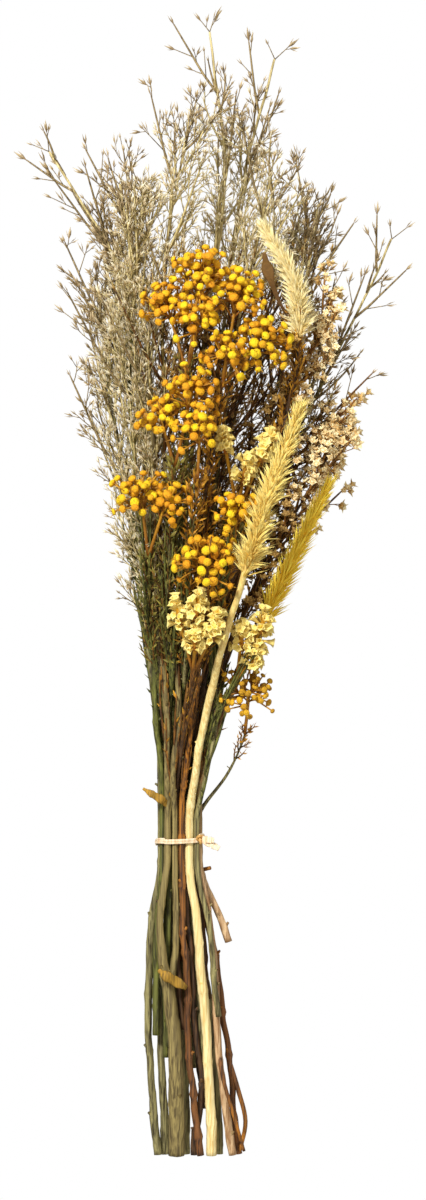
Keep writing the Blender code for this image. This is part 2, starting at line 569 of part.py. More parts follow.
def grow_corymb(bunch, node, start, centre, spread, count, size, rng):
    """A flat-topped cluster: stalks leave a short axis at several heights and end in buttons.

    The buttons lie by the golden angle on a shallow dome, at spread times the root of their rank.
    """
    centre = np.asarray(centre, float)
    for lift in range(0, 24, 2):
        middle = centre + UP * lift
        facing = unit(unit(middle - start) + 0.45 * UP)
        axis = np.array([start, (start + middle) / 2 + facing * 1.5, middle - facing * spread * 0.35])
        if bunch.is_clear(node, axis, [0.9, 0.8, 0.7]):
            break
    else:
        print("no room for a cluster of", node)
        return
    bunch.add(node, "branch", axis, [0.95, 0.85, 0.7])
    side, over = across(facing)
    for k in range(count):
        out = spread * math.sqrt((k + 0.4) / count)
        angle = k * GOLDEN_ANGLE + rng.uniform(-0.15, 0.15)
        outwards = math.cos(angle) * side + math.sin(angle) * over
        place = middle + out * outwards - facing * (0.42 * out**2 / spread)
        t = 1 - 0.75 * out / spread
        root = axis[1] + (axis[2] - axis[1]) * t
        for lift in (0.0, 2.5, -2.5, 5.0, 7.5, 10.0):
            at = place + facing * (lift + rng.uniform(-0.8, 0.8))
            stalk, thin = np.array([root, at]), np.full(2, STALK_RADIUS)
            ball, wide = at + np.outer([-0.25, 0.25], unit(at - root)) * size, np.full(2, size)
            if bunch.is_clear(node, ball, wide) and bunch.is_clear(node, stalk, thin):
                bunch.add(node, "room", stalk, thin)
                bunch.add(node, "room", ball, wide)
                bunch.nodes[node].append(("button", stalk, np.array([STALK_RADIUS, size])))
                break


def grow_offcuts(bunch, rng):
    """The dried leaves and the side shoots that are left on the stems, each from its place in OFFCUTS."""
    for node, kind, y, offsets, radii in OFFCUTS:
        stem = bunch.nodes[node][0][1]
        base = np.array([np.interp(y, stem[:, 1], stem[:, i]) for i in range(3)])
        for attempt in range(60):
            stretch = 1 + 0.06 * attempt
            points = np.vstack([[0.0, 0.0, 0.0], offsets]) * np.array([1.0, 1.0, stretch])
            points[1:, :2] += [rng.uniform(-0.05, 0.05) * attempt, rng.uniform(-0.05, 0.05) * attempt]
            points = base + points
            points[:, 2] = np.maximum(points[:, 2], radii)
            if bunch.is_clear(node, points, radii):
                bunch.add(node, kind, points, radii)
                break


def band_path(slots, plants, offset):
    """The line of a strip pulled tight round the stems: the outermost stem's side in each direction."""
    names = list(plants)
    places = np.array([slots[n] for n in names])
    radii = np.array([plants[n]["radius"] for n in names])
    points = []
    for angle in np.linspace(0, 2 * math.pi, BAND_STEPS, endpoint=False):
        normal = np.array([math.cos(angle), math.sin(angle)])
        outermost = (places @ normal + radii).argmax()
        x, z = places[outermost] + normal * (radii[outermost] + offset)
        points.append((x, 1.5 * math.cos(angle) + 0.7 * math.sin(3 * angle), TIE_Z + z))
    return np.array(points)


def grow_bunch():
    """Grows the whole bouquet. Returns it and the strip's line round the tie."""
    rng = random.Random(SEED)
    bunch = Bunch()
    slots = packed_slots(PLANTS)
    stems = settle_stems(PLANTS, slots)
    for name, (points, radii) in stems.items():
        bunch.add(PLANTS[name].get("fork_of", name), "stem", points, radii)
    band = band_path(slots, PLANTS, STEM_GAP + 0.1 + BAND_THICKNESS / 2)
    closed = np.vstack([band, band[:1]])
    bunch.add("raffia_tie", "band", closed, np.full(len(closed), BAND_WIDTH / 2))
    grow_offcuts(bunch, rng)
    for name, plant in SPIKES.items():
        grow_spike(bunch, name, plant)
    for name, plant in STATICE.items():
        for low, high, size in plant["heads"]:
            grow_statice(bunch, name, stems[name][0][-1], low, high, size)
    for name, plant in BUTTONS.items():
        for centre, spread, count, size in plant["heads"]:
            grow_corymb(bunch, name, stems[name][0][-1], centre, spread, count, size, rng)
    for plants, habit in HABITS:
        for name, plant in plants.items():
            points = stems[name][0]
            crown = points[points[:, 1] > plant["via"][0][1] + CROWN_START]
            own_habit = dict(habit, twigs=plant.get("twigs", 3))
            grow_spray(bunch, plant.get("fork_of", name), crown, own_habit, rng)
    knot = band[KNOT_STEP]
    outwards = unit((knot - band.mean(0)) * np.array([1.0, 0.0, 1.0]))
    along = np.cross(outwards, np.array([0.0, 1.0, 0.0]))
    middle = knot + outwards * 1.6
    bunch.add("raffia_tie", "knot", middle + np.outer((-2.6, -1.3, 1.3, 2.6), along), (0.9, 1.9, 1.9, 0.9))
    for length, rise, drop in TAILS:
        tail = middle + np.outer((0.0, 0.5, 1.0), outwards * 0.45 + np.array([0.75, rise, drop])) * length
        bunch.add("raffia_tie", "leaf", tail, (1.3, 1.4, 1.1))
    return bunch, band


def sweep(points, sizes, sides):
    """A closed skin of flat faces round a path, as (corners, faces).

    sizes gives each ring's half-width, or its two half-widths; a ring of size nought is one point.
    """
    points = np.asarray(points, float)
    sizes = np.asarray(sizes, float)
    sizes = np.column_stack([sizes, sizes]) if sizes.ndim == 1 else sizes
    tangents = np.gradient(points, axis=0)
    side = across(unit(tangents[0]))[0]
    angles = 2 * math.pi * np.arange(sides) / sides
    corners, rings, faces = [], [], []
    for point, tangent, size in zip(points, tangents, sizes):
        tangent = unit(tangent)
        side = unit(side - tangent * (side @ tangent))
        over = np.cross(tangent, side)
        count = 1 if size.max() == 0 else sides
        rings.append(list(range(len(corners), len(corners) + count)))
        for angle in angles[:count]:
            corners.append(point + math.cos(angle) * size[0] * side + math.sin(angle) * size[1] * over)
    for below, above in zip(rings, rings[1:]):
        for k in range(sides):
            face = [below[k % len(below)], below[(k + 1) % len(below)]]
            face += [above[(k + 1) % len(above)], above[k % len(above)]]
            faces.append(list(dict.fromkeys(face)))
    if len(rings[0]) > 1:
        faces.append(rings[0][::-1])
    if len(rings[-1]) > 1:
        faces.append(rings[-1])
    return np.array(corners), faces


def button_skin(points, size):
    """A button on its stalk in one skin: a three-sided stalk that widens into a five-sided dome.

    The rings are, from below, the stalk's foot, the dome's underside, the dome's rim and its top.
    """
    root, middle = points
    axis = unit(middle - root)
    side = across(axis)[0]
    over = np.cross(axis, side)
    rings = ((root, 3, 0.5), (middle - axis * 0.62 * size, 3, 0.6), (middle, 5, size),
        (middle + axis * 0.8 * size, 1, 0.0))
    corners = []
    for centre, count, r in rings:
        for angle in 2 * math.pi * np.arange(count) / count:
            corners.append(centre + r * (math.cos(angle) * side + math.sin(angle) * over))
    faces = [[2, 1, 0]]
    faces += [[j, (j + 1) % 3, 3 + (j + 1) % 3, 3 + j] for j in range(3)]
    faces += [[3, 4, 7], [4, 8, 7], [4, 5, 9], [4, 9, 8], [5, 3, 6], [5, 6, 10], [5, 10, 9], [3, 7, 6]]
    faces += [[6 + j, 6 + (j + 1) % 5, 11] for j in range(5)]
    return np.array(corners), faces


def ring_frames(spine, sides, twist):
    """Round a spine: its unit tangents, and each ring's outward directions, turned on by twist."""
    tangents = np.gradient(spine, axis=0)
    side = across(unit(tangents[0]))[0]
    outwards = []
    for k, tangent in enumerate(tangents):
        tangent = unit(tangent)
        side = unit(side - tangent * (side @ tangent))
        over = np.cross(tangent, side)
        angles = 2 * math.pi * (np.arange(sides) + twist * k) / sides
        outwards.append(np.outer(np.cos(angles), side) + np.outer(np.sin(angles), over))
    return tangents / np.linalg.norm(tangents, axis=1)[:, None], np.array(outwards)


def spike_skin(spine, radii, sides, reach, lean):
    """A feathery head in one skin: each four-sided cell of the core is drawn out to a leaning point.

    The point of a cell stands reach out from the cell's middle, at the angle lean from the head's
    own direction. The last cells are shorter and lean forwards, so that the head ends in a tuft.
    """
    tangents, outwards = ring_frames(spine, sides, 0.5)
    corners = [c for point, out, r in zip(spine, outwards, radii) for c in point + out * r]
    faces = []
    rows = len(spine) - 1
    for k in range(rows):
        t = (k + 0.5) / rows
        for j in range(sides):
            n = (j + 1) % sides
            cell = [k * sides + j, k * sides + n, (k + 1) * sides + n, (k + 1) * sides + j]
            middle = sum(corners[c] for c in cell) / 4
            out = unit(outwards[k][j] + outwards[k][n] + outwards[k + 1][j] + outwards[k + 1][n])
            angle = lean * (1.1 - 0.6 * t)
            wave = (1 + math.cos(2.4 * j + 1.7 * k)) / 2
            length = reach * (LEAST_SEED + (LONGEST_SEED - LEAST_SEED) * wave) * (1.0 - 0.35 * t)
            corners.append(middle + length * (math.cos(angle) * tangents[k] + math.sin(angle) * out))
            tip = len(corners) - 1
            faces += [[cell[i], cell[(i + 1) % 4], tip] for i in range(4)]
    corners.append(spine[-1] + tangents[-1] * reach * 0.5)
    faces += [[rows * sides + j, rows * sides + (j + 1) % sides, len(corners) - 1] for j in range(sides)]
    faces.append(list(range(sides))[::-1])
    return np.array(corners), faces


def statice_skin(spine, size):
    """A papery head in one skin: every other cell of a small core is drawn out to a flared cup.

    The cups lean a little this way and that, by cosines of their place, and so do their sizes.
    """
    sides, rows, core = STATICE_SIDES, STATICE_ROWS, size * STATICE_CORE
    spine = spine[0] + np.outer(np.linspace(0, 1, rows + 1), spine[-1] - spine[0])
    shape = np.sin(np.pi * np.linspace(0.13, 0.87, rows + 1)) ** 0.6
    tangents, outwards = ring_frames(spine, sides, 0.3)
    corners = [c for point, out, r in zip(spine, outwards, core * shape) for c in point + out * r]
    faces = []
    for k in range(rows):
        for j in range(sides):
            n = (j + 1) % sides
            cell = [k * sides + j, k * sides + n, (k + 1) * sides + n, (k + 1) * sides + j]
            if (j + k) % 2:
                faces.append(cell)
                continue
            middle = sum(corners[c] for c in cell) / 4
            out = unit(outwards[k][j] + outwards[k][n] + outwards[k + 1][j] + outwards[k + 1][n])
            over = np.cross(tangents[k], out)
            lean = ((k + 0.5) / rows - 0.4) * 1.5 + 0.2 * math.cos(3.1 * j + 1.3 * k)
            out = unit(out + tangents[k] * lean + over * 0.22 * math.cos(1.9 * j + 2.7 * k))
            reach = size * (0.84 + 0.16 * math.cos(2.1 * j + 2.9 * k)) - core
            flare = 1.55 + 0.15 * math.cos(4.3 * j + 1.1 * k)
            first = len(corners)
            corners += [middle + out * reach + (corners[c] - middle) * flare for c in cell]
            faces += [[cell[i], cell[(i + 1) % 4], first + (i + 1) % 4, first + i] for i in range(4)]
            faces.append([first, first + 1, first + 2, first + 3])
    faces.append(list(range(sides))[::-1])
    faces.append([rows * sides + j for j in range(sides)])
    return np.array(corners), faces


def without_straight_rings(points, radii):
    """Leaves out each inner ring that lies within STRAIGHT of the line between its neighbours."""
    kept = list(range(len(points)))
    k = 1
    while k < len(kept) - 1:
        low, here, high = kept[k - 1 : k + 2]
        t = (points[here, 1] - points[low, 1]) / (points[high, 1] - points[low, 1])
        off = np.abs(points[low] + (points[high] - points[low]) * t - points[here]).max()
        thinner = abs(radii[low] + (radii[high] - radii[low]) * t - radii[here])
        if max(off, thinner) < STRAIGHT:
            kept.pop(k)
        k += 1
    return points[kept], radii[kept]


def skin_of(kind, points, radii, plant):
    """The flat-faced skin of one grown shape."""
    if kind == "stem":
        points, radii = without_straight_rings(points, radii)
        return sweep(points, radii, 6 if radii.max() > 2.4 else 4)
    if kind == "button":
        return button_skin(points, radii[1])
    if kind == "spike":
        return spike_skin(points, radii, 6, plant["seed_length"], math.radians(plant["lean"]))
    if kind == "statice":
        return statice_skin(points, radii[0])
    if kind == "knot":
        return sweep(points, radii, 6)
    if kind == "leaf":
        return sweep(points, np.column_stack([radii, np.full(len(radii), LEAF_THICKNESS / 2)]), 4)
    return sweep(points, radii, 3)


def material(name, colour, roughness):
    made = bpy.data.materials.new(name)
    made.use_nodes = True
    shader = made.node_tree.nodes["Principled BSDF"]
    shader.inputs["Base Color"].default_value = (*colour, 1.0)
    shader.inputs["Roughness"].default_value = roughness
    return made


def mesh_object(name, skin):
    mesh = bpy.data.meshes.new(name)
    corners, faces = skin
    mesh.from_pydata((corners * MM).tolist(), [], faces)
    made = bpy.data.objects.new(name, mesh)
    bpy.context.scene.collection.objects.link(made)
    return made


def fuse(name, skins, finish):
    """Joins overlapping skins into one solid object, by one union with all of them."""
    whole = mesh_object(name, skins[0])
    group = bpy.data.collections.new(name + "_pieces")
    bpy.context.scene.collection.children.link(group)
    for k, skin in enumerate(skins[1:]):
        piece = mesh_object(f"{name}_piece_{k}", skin)
        bpy.context.scene.collection.objects.unlink(piece)
        group.objects.link(piece)
    if len(skins) > 1:
        union = whole.modifiers.new("union", "BOOLEAN")
        union.operation = "UNION"
        union.operand_type = "COLLECTION"
        union.solver = "MANIFOLD"
        union.collection = group
        graph = bpy.context.evaluated_depsgraph_get()
        joined = bpy.data.meshes.new_from_object(whole.evaluated_get(graph))
        whole.modifiers.clear()
        whole.data = joined
        keep_outer_shell(joined)
    for piece in list(group.objects):
        bpy.data.objects.remove(piece)
    bpy.data.collections.remove(group)
    whole.data.materials.clear()
    whole.data.materials.append(finish)
    return whole


def keep_outer_shell(mesh):
    """Deletes small shells that a union leaves: hollows sealed between shapes, and loose scraps."""
    work = bmesh.new()
    work.from_mesh(mesh)
    shells, seen = [], set()
    for first in work.faces:
        if first in seen:
            continue
        shell, queue = [], [first]
        seen.add(first)
        while queue:
            face = queue.pop()
            shell.append(face)
            for edge in face.edges:
                for other in edge.link_faces:
                    if other not in seen:
                        seen.add(other)
                        queue.append(other)
        shells.append(shell)
    for shell in sorted(shells, key=len)[:-1]:
        bmesh.ops.delete(work, geom=shell, context="FACES")
    work.to_mesh(mesh)
    work.free()


def band_skin(line):
    """The raffia strip as a closed ring with a flat cross-section."""
    count = len(line)
    middle = line.mean(0)
    corners, faces = [], []
    for point in line:
        outwards = unit((point - middle) * np.array([1.0, 0.0, 1.0]))
        for wide, thick in ((-1, -1), (1, -1), (1, 1), (-1, 1)):
            along = np.array([0, wide * BAND_WIDTH / 2, 0])
            corners.append(point + along + outwards * thick * BAND_THICKNESS / 2)
    for k in range(count):
        n = (k + 1) % count
        for j in range(4):
            faces.append([4 * k + j, 4 * n + j, 4 * n + (j + 1) % 4, 4 * k + (j + 1) % 4])
    return np.array(corners), faces


def main():
    for old in list(bpy.data.objects):
        bpy.data.objects.remove(old)
    bunch, band = grow_bunch()
    finishes = {
        "sea_lavender": material("dry grey green", (0.33, 0.32, 0.20), 0.8),
        "beige_spray": material("beige and brown", (0.55, 0.42, 0.27), 0.8),
        "cream_spike": material("straw cream", (0.86, 0.74, 0.38), 0.7),
        "golden_spike": material("golden straw", (0.80, 0.60, 0.16), 0.7),
        "cream_statice": material("papery cream", (0.86, 0.76, 0.40), 0.75),
        "button_flower": material("button yellow", (0.90, 0.62, 0.03), 0.7),
        "bare_stem": material("tan wood", (0.55, 0.42, 0.30), 0.75),
        "raffia_tie": material("raffia", (0.85, 0.74, 0.55), 0.6),
    }
    made = []
    for node, shapes in bunch.nodes.items():
        if node == "raffia_tie":
            skins = [band_skin(band)] + [skin_of(*shape, None) for shape in shapes if shape[0] != "band"]
        else:
            skins = [skin_of(*shape, PLANTS.get(node)) for shape in shapes if shape[0] != "room"]
        finish = next(f for key, f in finishes.items() if node.startswith(key))
        made.append(fuse(node, skins, finish))
    corners = np.vstack([np.array([v.co for v in o.data.vertices]) for o in made])
    low, high = corners.min(0), corners.max(0)
    middle = [(low[0] + high[0]) / 2, (low[1] + high[1]) / 2, low[2]]
    for o in made:
        o.data.transform(Matrix.Translation([-c for c in middle]))
        o.data.calc_loop_triangles()
        print(o.name, len(o.data.loop_triangles), flush=True)


main()
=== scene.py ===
# %% [markdown]
# # A dried flower bouquet, lying on a table
# Thirty cut stems are tied at the waist with a strip of raffia. The imported model holds each plant as
# one plain solid. This lesson grows the same plants once more by the same rules, so that every stem,
# branch and bud lies where the model has it. It then dresses each one with its fine parts.
#
# ## The frame
# The imported model comes first, because every finished piece stands in the place of one of its nodes.
# The box it fills is kept, since the finer shoots may reach only a little past it.

# %% Load the imported model
import math
import random

import bpy
import numpy as np
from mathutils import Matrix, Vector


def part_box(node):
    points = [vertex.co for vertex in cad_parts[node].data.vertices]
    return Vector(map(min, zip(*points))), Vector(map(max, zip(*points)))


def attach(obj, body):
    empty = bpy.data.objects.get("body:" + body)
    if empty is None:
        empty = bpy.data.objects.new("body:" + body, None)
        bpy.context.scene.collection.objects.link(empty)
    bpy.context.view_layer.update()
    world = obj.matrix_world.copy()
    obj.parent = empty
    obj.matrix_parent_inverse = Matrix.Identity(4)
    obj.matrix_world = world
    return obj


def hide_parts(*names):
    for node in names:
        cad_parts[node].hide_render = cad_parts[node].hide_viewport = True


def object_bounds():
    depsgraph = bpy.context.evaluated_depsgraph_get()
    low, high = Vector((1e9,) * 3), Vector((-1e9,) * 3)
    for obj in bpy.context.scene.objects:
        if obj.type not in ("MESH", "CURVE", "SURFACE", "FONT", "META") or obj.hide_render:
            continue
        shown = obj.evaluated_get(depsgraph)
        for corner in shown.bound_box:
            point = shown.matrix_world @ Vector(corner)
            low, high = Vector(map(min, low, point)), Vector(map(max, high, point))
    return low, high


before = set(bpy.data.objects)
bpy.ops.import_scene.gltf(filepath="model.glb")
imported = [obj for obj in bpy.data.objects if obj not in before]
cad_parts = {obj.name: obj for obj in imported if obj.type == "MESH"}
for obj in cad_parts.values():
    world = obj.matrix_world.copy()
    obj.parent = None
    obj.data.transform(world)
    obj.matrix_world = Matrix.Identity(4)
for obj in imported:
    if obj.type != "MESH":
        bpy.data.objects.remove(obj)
cad_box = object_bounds()
print("nodes", len(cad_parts))
print("model box", [round(c, 4) for corner in cad_box for c in corner])

# %% [markdown]
# ## The driving sizes
# A bunch like this one is about 60 cm long. Everything is in millimetres in bunch coordinates: x to
# the right, y from the tie to the flowers, z up from the table. Each plant has a place in the tie, a
# stem radius there, and a few points that its stem passes on the way to its head.

# %% Sizes and plants
FOOT_Y = -166.5  # the level cut across the feet
TIE_Z = 24.0  # height of the bundle's middle at the tie
WAIST = 8.0  # half the length over which the stems run straight through the tie
STEM_GAP = 0.3  # clear distance between stems that lie against each other
TWIG_GAP = 0.35  # clear distance between the twigs of two plants
FORK_LEVEL = 2  # where a foot divides into two stems, as a place in LEVELS
HEAD_ROOM = 4.5  # how far the stems keep from the middle of a spike's head
SETTLE_STEPS = 900  # rounds of pushing the stems apart
SMOOTH_SHARE = 0.7  # the share of those rounds that also smooth the stems
OWN_SHARE, SIDE_SHARE = 0.7, 0.15  # how much a smoothed shift takes of its own and of each neighbour's
RETURN_FACTOR = 0.985  # and by how much it is drawn back to the wanted line
STEM_PUSH, HEAD_PUSH, PACK_PUSH = 0.45, 0.5, 0.7  # the share of what is lacking that one push makes up
PACK_STEPS = 900  # rounds of pressing the stems together in the tie
PRESS_STEPS = 500  # the first of them draw the stems in, by this factor a round
PRESS_FACTOR = 0.997
HEAD_TAPER = 0.68  # the share of a stem's thickness that it loses up to its head
FOOT_FLARE = 0.18  # the share that it gains down to its foot
BAND_WIDTH = 3.4  # the raffia strip round the waist
BAND_THICKNESS = 1.0
BAND_STEPS = 28
KNOT_STEP = 5  # the knot's place among the band's steps, counted from the right round to the front
TAILS = ((9.0, -0.55, 0.1), (6.5, -0.1, 0.3))  # each tail's length, and how it rises along y and z
SEED = 7

# The heights at which a stem may bend, and how the bundle spreads out on the first four of them and
# above the tie: y, middle x, middle z, spread in x, spread in z
LEVELS = np.array([FOOT_Y, -126, -86, -46, -WAIST, WAIST, 36, 68, 106, 148, 194, 242, 292, 344, 394, 434])
SPREAD = (
    (FOOT_Y, 10.5, 9.5, 2.25, 0.80),
    (-126.0, 6.0, 14.0, 2.05, 0.95),
    (-86.0, 3.3, 17.6, 1.80, 1.05),
    (-46.0, 1.8, 21.2, 1.50, 1.10),
    (60.0, 3.8, 31.0, 1.60, 1.65),
)

# The full middle of the bouquet is an ellipse in x and y. Past it the sprays are short and sparse.
FULL_MIDDLE = np.array([16.0, 225.0])
FULL_SIZE = np.array([66.0, 160.0])
FULL_FALL = 1.5  # how fast the fullness falls, for each size of the ellipse
SPARSEST = 0.25  # the share that is left at the furthest tips
BRANCH_LEAN = (22, 38)  # degrees between a branch and its stem
TWIG_LEAN = (26, 42)  # degrees between a twig and its branch
CROWN_START = 34.0  # how far above the first point that it passes a spray's stem begins to branch
STALK_RADIUS = 0.5  # of a button's own stalk
BUTTON_LIFTS = (0.0, 2.5, -2.5, 5.0, 7.5, 10.0)  # tried in turn until a button has room
CLUSTER_RISE = 0.45  # how much a cluster faces upwards
CLUSTER_DROP = 0.42  # how far its rim lies below its middle, as a share of its spread
KNOT_OUT = 1.6  # the knot's middle, outwards from the strip
TIP_REACH = 8.0  # how far a spike's stem runs on into its head

GOLDEN_ANGLE = math.radians(137.5)
UP = np.array([0.0, 0.0, 1.0])
MM = 0.001

# Every plant: its place in the tie (x, z from the bundle's middle), its stem's radius there, and the
# points that its stem passes above the tie. A stem may have its own x on the four levels below the tie
# (below, from the foot up), or be cut off higher than the others (cut). A plant with fork_of shares the
# foot of another one, which is a trunk of its own radius there.
SEA_LAVENDER = {
    "sea_lavender_1": dict(slot=(-10.5, -2.5), radius=1.9, below=(-7.0, -9.0, -9.5, -10.5),
        via=((-14, 126, 30), (-20, 225, 32), (-31, 300, 38), (-68, 360, 42))),
    "sea_lavender_2": dict(slot=(-4.5, 7.5), radius=1.9, trunk=4.3, below=(-1.5, -2.0, -4.8, -10.5),
        via=((-10, 126, 50), (-14, 230, 62), (-22, 296, 64), (-31, 342, 60))),
    "sea_lavender_3": dict(slot=(0.0, -5.0), radius=1.8, twigs=2, below=(4.0, 3.0, 2.0, 1.0),
        via=((1, 126, 30), (12, 257, 42), (24, 345, 48), (16, 422, 50))),
    "sea_lavender_4": dict(slot=(4.0, -7.0), radius=1.9, twigs=2, cut=-121,
        via=((9, 126, 27), (22, 257, 32), (35, 352, 40), (50, 408, 46))),
    "sea_lavender_5": dict(slot=(5.0, -3.0), radius=1.6, twigs=2, cut=-97,
        via=((13, 126, 38), (29, 257, 52), (40, 310, 60), (51, 345, 64))),
    "sea_lavender_6": dict(slot=(-1.0, 8.0), radius=1.7, fork_of="sea_lavender_2",
        via=((-5, 126, 50), (-8, 257, 62), (-6, 320, 64), (4, 362, 64))),
    "sea_lavender_7": dict(slot=(-11.0, 2.0), radius=1.8, below=(-11.0, -15.0, -16.0, -14.5),
        via=((-17, 105, 36), (-29, 188, 38), (-37, 242, 36), (-40, 290, 34))),
    "sea_lavender_8": dict(slot=(-8.0, 5.5), radius=1.8, twigs=2, cut=-103,
        via=((-13, 115, 46), (-23, 204, 54), (-25, 264, 58), (-18, 326, 62))),
    "sea_lavender_9": dict(slot=(9.0, -5.0), radius=1.7, below=(21.5, 19.0, 15.5, 10.5), twigs=2,
        via=((22, 126, 26), (46, 220, 28), (63, 280, 32), (73, 333, 38))),
    "sea_lavender_10": dict(slot=(11.0, -1.5), radius=1.7, twigs=2, cut=-92,
        via=((26, 126, 36), (59, 209, 40), (87, 262, 44), (111, 314, 50))),
    "sea_lavender_11": dict(slot=(-4.0, -8.5), radius=1.6, twigs=2, cut=-88,
        via=((-8, 126, 20), (-17, 215, 15), (-27, 280, 12), (-42, 326, 12))),
    "sea_lavender_12": dict(slot=(1.0, -9.0), radius=1.6, twigs=2, cut=-72,
        via=((8, 126, 17), (28, 215, 14), (44, 272, 12), (58, 305, 12))),
}
BEIGE_SPRAYS = {
    "beige_spray_1": dict(slot=(7.5, -6.5), radius=1.6, cut=-112,
        via=((20, 112, 34), (47, 178, 42), (73, 212, 46), (92, 230, 48))),
    "beige_spray_2": dict(slot=(4.0, -0.5), radius=1.6, twigs=2, cut=-64,
        via=((16, 118, 44), (40, 192, 56), (62, 240, 62), (80, 282, 64))),
    "beige_spray_3": dict(slot=(10.5, 2.0), radius=1.5, cut=-84,
        via=((28, 105, 46), (54, 160, 52), (70, 188, 56), (80, 205, 58))),
}
SPIKES = {
    "cream_spike_1": dict(slot=(7.0, -2.5), radius=1.7, width=7.6, core=2.2, rings=11, seed_length=10.5,
        lean=42, taper=0.5, cut=-142,
        via=((20, 118, 52), (45, 188, 66), (62, 250, 76)),
        head=((63, 262, 78), (60, 290, 82), (44, 318, 84))),
    "cream_spike_2": dict(slot=(9.5, 8.0), radius=2.3, width=8.2, core=2.5, rings=14, seed_length=11.0,
        lean=42, taper=0.45, below=(17.3, 15.6, 13.0, 9.6),
        via=((13, 58, 47), (24, 105, 76), (33, 132, 92)),
        head=((34, 138, 94), (47, 180, 104), (63, 224, 106))),
    "golden_spike": dict(slot=(12.5, 4.0), radius=1.8, width=5.6, core=2.0, rings=11, seed_length=10.0,
        lean=26, taper=0.5, below=(28.5, 22.0, 19.0, 16.5),
        via=((25, 66, 40), (36, 94, 46), (42, 110, 52)),
        head=((44, 114, 54), (59, 146, 63), (77, 184, 70))),
}
BUTTONS = {
    "button_flower_1": dict(slot=(-2.5, 4.5), radius=1.5, cut=-109,
        via=((0, 126, 62), (4, 215, 78), (5, 246, 82)),
        heads=(((12, 300, 92), 14, 14, 2.6), ((-7, 282, 86), 9, 8, 2.6), ((11, 273, 96), 10, 8, 2.6))),
    "button_flower_2": dict(slot=(3.2, 3.6), radius=1.5, below=(8.0, 12.0, 7.5, 5.5),
        via=((9, 126, 64), (17, 200, 78), (23, 236, 82)),
        heads=(((31, 289, 92), 12, 11, 2.6), ((46, 263, 96), 13, 12, 2.6), ((25, 255, 98), 9, 6, 2.6))),
    "button_flower_3": dict(slot=(-5.0, 1.0), radius=1.4, cut=-79,
        via=((-7, 110, 60), (-4, 165, 78), (-2, 196, 84)),
        heads=(((8, 238, 96), 9, 8, 2.6), ((-10, 222, 92), 10, 7, 2.6))),
    "button_flower_4": dict(slot=(0.0, 1.5), radius=1.4, cut=-101,
        via=((2, 105, 62), (6, 160, 82), (9, 186, 90)),
        heads=(((11, 216, 98), 8, 7, 2.6),)),
    "button_flower_5": dict(slot=(-7.0, 1.5), radius=1.4, cut=-115,
        via=((-11, 90, 52), (-15, 130, 66), (-15, 152, 72)),
        heads=(((-20, 184, 82), 12, 11, 2.6), ((-6, 178, 88), 8, 5, 2.6))),
    "button_flower_6": dict(slot=(3.5, 8.8), radius=1.6, below=(12.0, 6.0, 4.5, 2.5),
        via=((9, 80, 56), (12, 108, 64), (14, 126, 78)),
        heads=(((16, 149, 94), 14, 13, 2.6),)),
    "button_flower_7": dict(slot=(4.6, 1.2), radius=1.4, cut=-75,
        via=((16, 108, 58), (25, 142, 70), (28, 150, 74)),
        heads=(((31, 174, 84), 9, 8, 2.6),)),
    "button_flower_8": dict(slot=(12.5, 1.5), radius=1.2, cut=-52,
        via=((24, 44, 50), (31, 56, 54)),
        heads=(((37, 80, 58), 12, 8, 2.0),)),
}
STATICE = {
    "cream_statice_1": dict(slot=(0.5, 4.5), radius=1.5, cut=-100,
        via=((4, 60, 52), (6, 80, 62), (7, 88, 68)),
        heads=(((1, 113, 84), (-1, 122, 87), 5.6), ((9, 116, 86), (10, 125, 89), 5.8),
            ((8, 101, 82), (9, 109, 85), 5.4), ((18, 106, 86), (20, 115, 89), 5.8))),
    "cream_statice_2": dict(slot=(8.0, 2.0), radius=1.5, cut=-133,
        via=((22, 62, 50), (30, 78, 58), (33, 84, 62)),
        heads=(((33, 101, 70), (32, 110, 74), 6.0), ((42, 106, 72), (44, 116, 76), 6.2),
            ((38, 92, 68), (40, 99, 71), 5.6))),
    "cream_statice_3": dict(slot=(11.0, 7.5), radius=1.4, cut=-93,
        via=((18, 118, 50), (27, 156, 56), (31, 172, 62)),
        heads=(((33, 187, 78), (35, 196, 81), 5.6), ((43, 199, 80), (46, 208, 83), 5.8),
            ((24, 203, 82), (23, 211, 85), 5.2))),
}
BARE_STEMS = {
    "bare_stem_short": dict(slot=(12.5, -1.5), radius=1.9, below=(0, 0, 36, 23.5), cut=-54,
        via=((19, 66, 28), (22, 84, 28))),
    "bare_stem_long": dict(slot=(11.5, -4.0), radius=1.5, below=(31.5, 27.0, 22.5, 15.5),
        via=((20, 62, 22), (24, 92, 22))),
}
PLANTS = {**SPIKES, **STATICE, **BUTTONS, **SEA_LAVENDER, **BEIGE_SPRAYS, **BARE_STEMS}
HABITS = (
    (SEA_LAVENDER, dict(ending="spikelet", twig_length=17.0, branch_length=46.0, branches=5)),
    (BEIGE_SPRAYS, dict(ending="floret", twig_length=9.0, branch_length=34.0, branches=5)),
)
# The place in LEVELS of the lowest level that each cut stem still reaches
LOWEST_BEND = {n: int((LEVELS < p["cut"]).sum()) - 1 for n, p in PLANTS.items() if "cut" in p}
print("stems", len(PLANTS))

# %% [markdown]
# ## Directions and curves
# Branches leave their stem at an angle and at a turn round it, so a few small helpers for directions
# come first. A stem is a smooth curve through its few points. Cubics that share their slopes give a
# living line, where straight runs would look like wire.

# %% Directions and curves
def unit(vector):
    return vector / np.linalg.norm(vector)


def across(direction):
    """Two unit vectors square to direction and to each other."""
    helper = UP if abs(direction[2]) < 0.9 else np.array([1.0, 0.0, 0.0])
    side = unit(np.cross(direction, helper))
    return side, np.cross(side, direction)


def turned(direction, lean, around):
    """The unit vector that leans off direction by lean, towards the side that the angle around gives."""
    side, over = across(direction)
    outwards = math.cos(around) * side + math.sin(around) * over
    return math.cos(lean) * direction + math.sin(lean) * outwards


